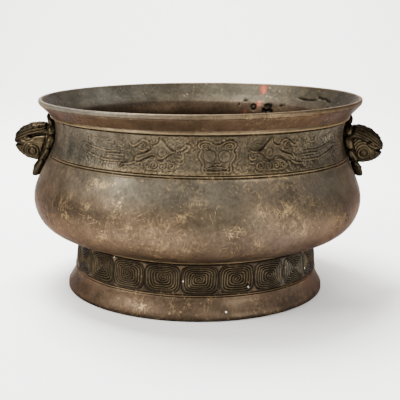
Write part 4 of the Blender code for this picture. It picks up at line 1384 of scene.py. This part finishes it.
finishes = {
    # Smooth turned skin: a soft broad shine, with tan flecks and scratches where the brown is worn through.
    vessel_body: patinated_bronze("brown_patinated_cast_bronze", roughness=0.46, metallic=0.85, grain_mm=1.6,
                                  grain_depth=0.12, mottled=0.3, dotted=1.4, worn=0.7, dusty=True),
    # Punched and chased ground: an uneven glitter of small points on olive.
    neck_frieze: patinated_bronze("olive_patinated_cast_bronze", roughness=0.45, metallic=0.85, grain_mm=0.9,
                                  grain_depth=0.26, mottled=0.45, dotted=1.2),
    # Dirt stays in the spirals' grooves, so the band is the darkest and only its crests shine.
    foot_band: patinated_bronze("dark_olive_patinated_cast_bronze", roughness=0.45, metallic=0.85, grain_mm=0.9,
                                grain_depth=0.10, mottled=0.4, dotted=1.0, dusty=True),
    # Hands have polished what stands out of the heads, so it is glossier, over nearly black hollows.
    left_handle: patinated_bronze("dark_rubbed_cast_bronze", roughness=0.34, metallic=0.9, grain_mm=1.0,
                                  grain_depth=0.10, mottled=0.4, dotted=0.0),
}
finishes[right_handle] = finishes[left_handle]
for piece, material in finishes.items():
    piece.data.materials.append(material)
print("materials:", sorted({material.name for material in finishes.values()}))

# %% [markdown]
# The pieces take the solids' places: the body and both bands together stand for the one cast vessel, and
# each carved handle stands for its own solid. Nothing moves, so all of them ride on the root body.

# %% Tie the pieces to the solids
stand_for = [(piece, "vessel", "brown_bronze") for piece in (vessel_body, neck_frieze, foot_band)]
stand_for += [(left_handle, "left_handle", "dark_bronze"), (right_handle, "right_handle", "dark_bronze")]
for piece, solid, finish in stand_for:
    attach(piece, "root")
    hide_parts(solid)
print("pieces tied:", len(stand_for))

# %% [markdown]
# A studio sweep is a floor that curves up into a backdrop, so no horizon shows. A softbox is a lamp as wide as
# a window, and it gives metal broad, soft reflections: the main ones hang overhead and at the front left, two
# weak ones fill the front and the right, and one lights the backdrop. An even pale surround lifts the shadows.

# %% Floor, surround and lamps
sweep_width = 8000.0
sweep_front = -3000.0
sweep_back = 1600.0
sweep_curve = 900.0
sweep_top = 3200.0
surround_colour = (1.0, 0.985, 0.96, 1)
surround_strength = 0.54


def make_sweep():
    """A strip whose profile is a floor, a quarter circle and a wall."""
    quarter = np.linspace(0, np.pi / 2, 24)
    curve = sweep_back + sweep_curve * np.sin(quarter)
    depth = np.concatenate([[sweep_front, 0], curve, [sweep_back + sweep_curve]])
    rise = np.concatenate([[0, 0], sweep_curve * (1 - np.cos(quarter)), [sweep_top]])
    points = [(x, y, z) for x in (-sweep_width / 2, sweep_width / 2) for y, z in zip(depth, rise)]
    count = len(depth)
    faces = [(k, k + count, k + count + 1, k + 1) for k in range(count - 1)]
    data = bpy.data.meshes.new("studio_sweep")
    data.from_pydata((np.array(points) * mm).tolist(), [], faces)
    data.shade_smooth()
    return in_scene("studio_sweep", data)


def matte_paper(name, colour):
    """Matte backdrop paper: a plain pale colour with hardly any gloss."""
    material, shader = new_material(name)
    shader.inputs["Base Color"].default_value = (*colour, 1)
    shader.inputs["Roughness"].default_value = 0.9
    return material


def softbox(name, place, aim, size, watts):
    """A square area lamp that looks at a point, both in millimetres."""
    data = bpy.data.lights.new(name, "AREA")
    data.shape = "SQUARE"
    data.size = size * mm
    data.energy = watts
    lamp = in_scene(name, data)
    lamp.location = Vector(place) * mm
    lamp.rotation_euler = (Vector(aim) - Vector(place)).to_track_quat("-Z", "Y").to_euler()
    return lamp


def pale_surround():
    """An even, faintly warm white light from all round."""
    world = bpy.data.worlds.new("studio")
    world.use_nodes = True
    background = world.node_tree.nodes["Background"]
    background.inputs["Color"].default_value = surround_colour
    background.inputs["Strength"].default_value = surround_strength
    bpy.context.scene.world = world


sweep = make_sweep()
sweep.data.materials.append(matte_paper("matte_white_paper", paper_white))
lamps = [
    softbox("overhead_softbox", (-300, 240, 1400), (0, 0, 80), 650, 72),
    softbox("left_softbox", (-1330, -760, 1100), (0, 0, 110), 900, 48),
    softbox("front_softbox", (60, -1600, 1150), (0, -350, 0), 1000, 14),
    softbox("right_softbox", (950, -1100, 420), (0, 0, 90), 700, 14),
    softbox("backdrop_softbox", (0, 1000, 2000), (0, 2400, 900), 1500, 155),
]
pale_surround()
print("lamps:", [lamp.name for lamp in lamps])
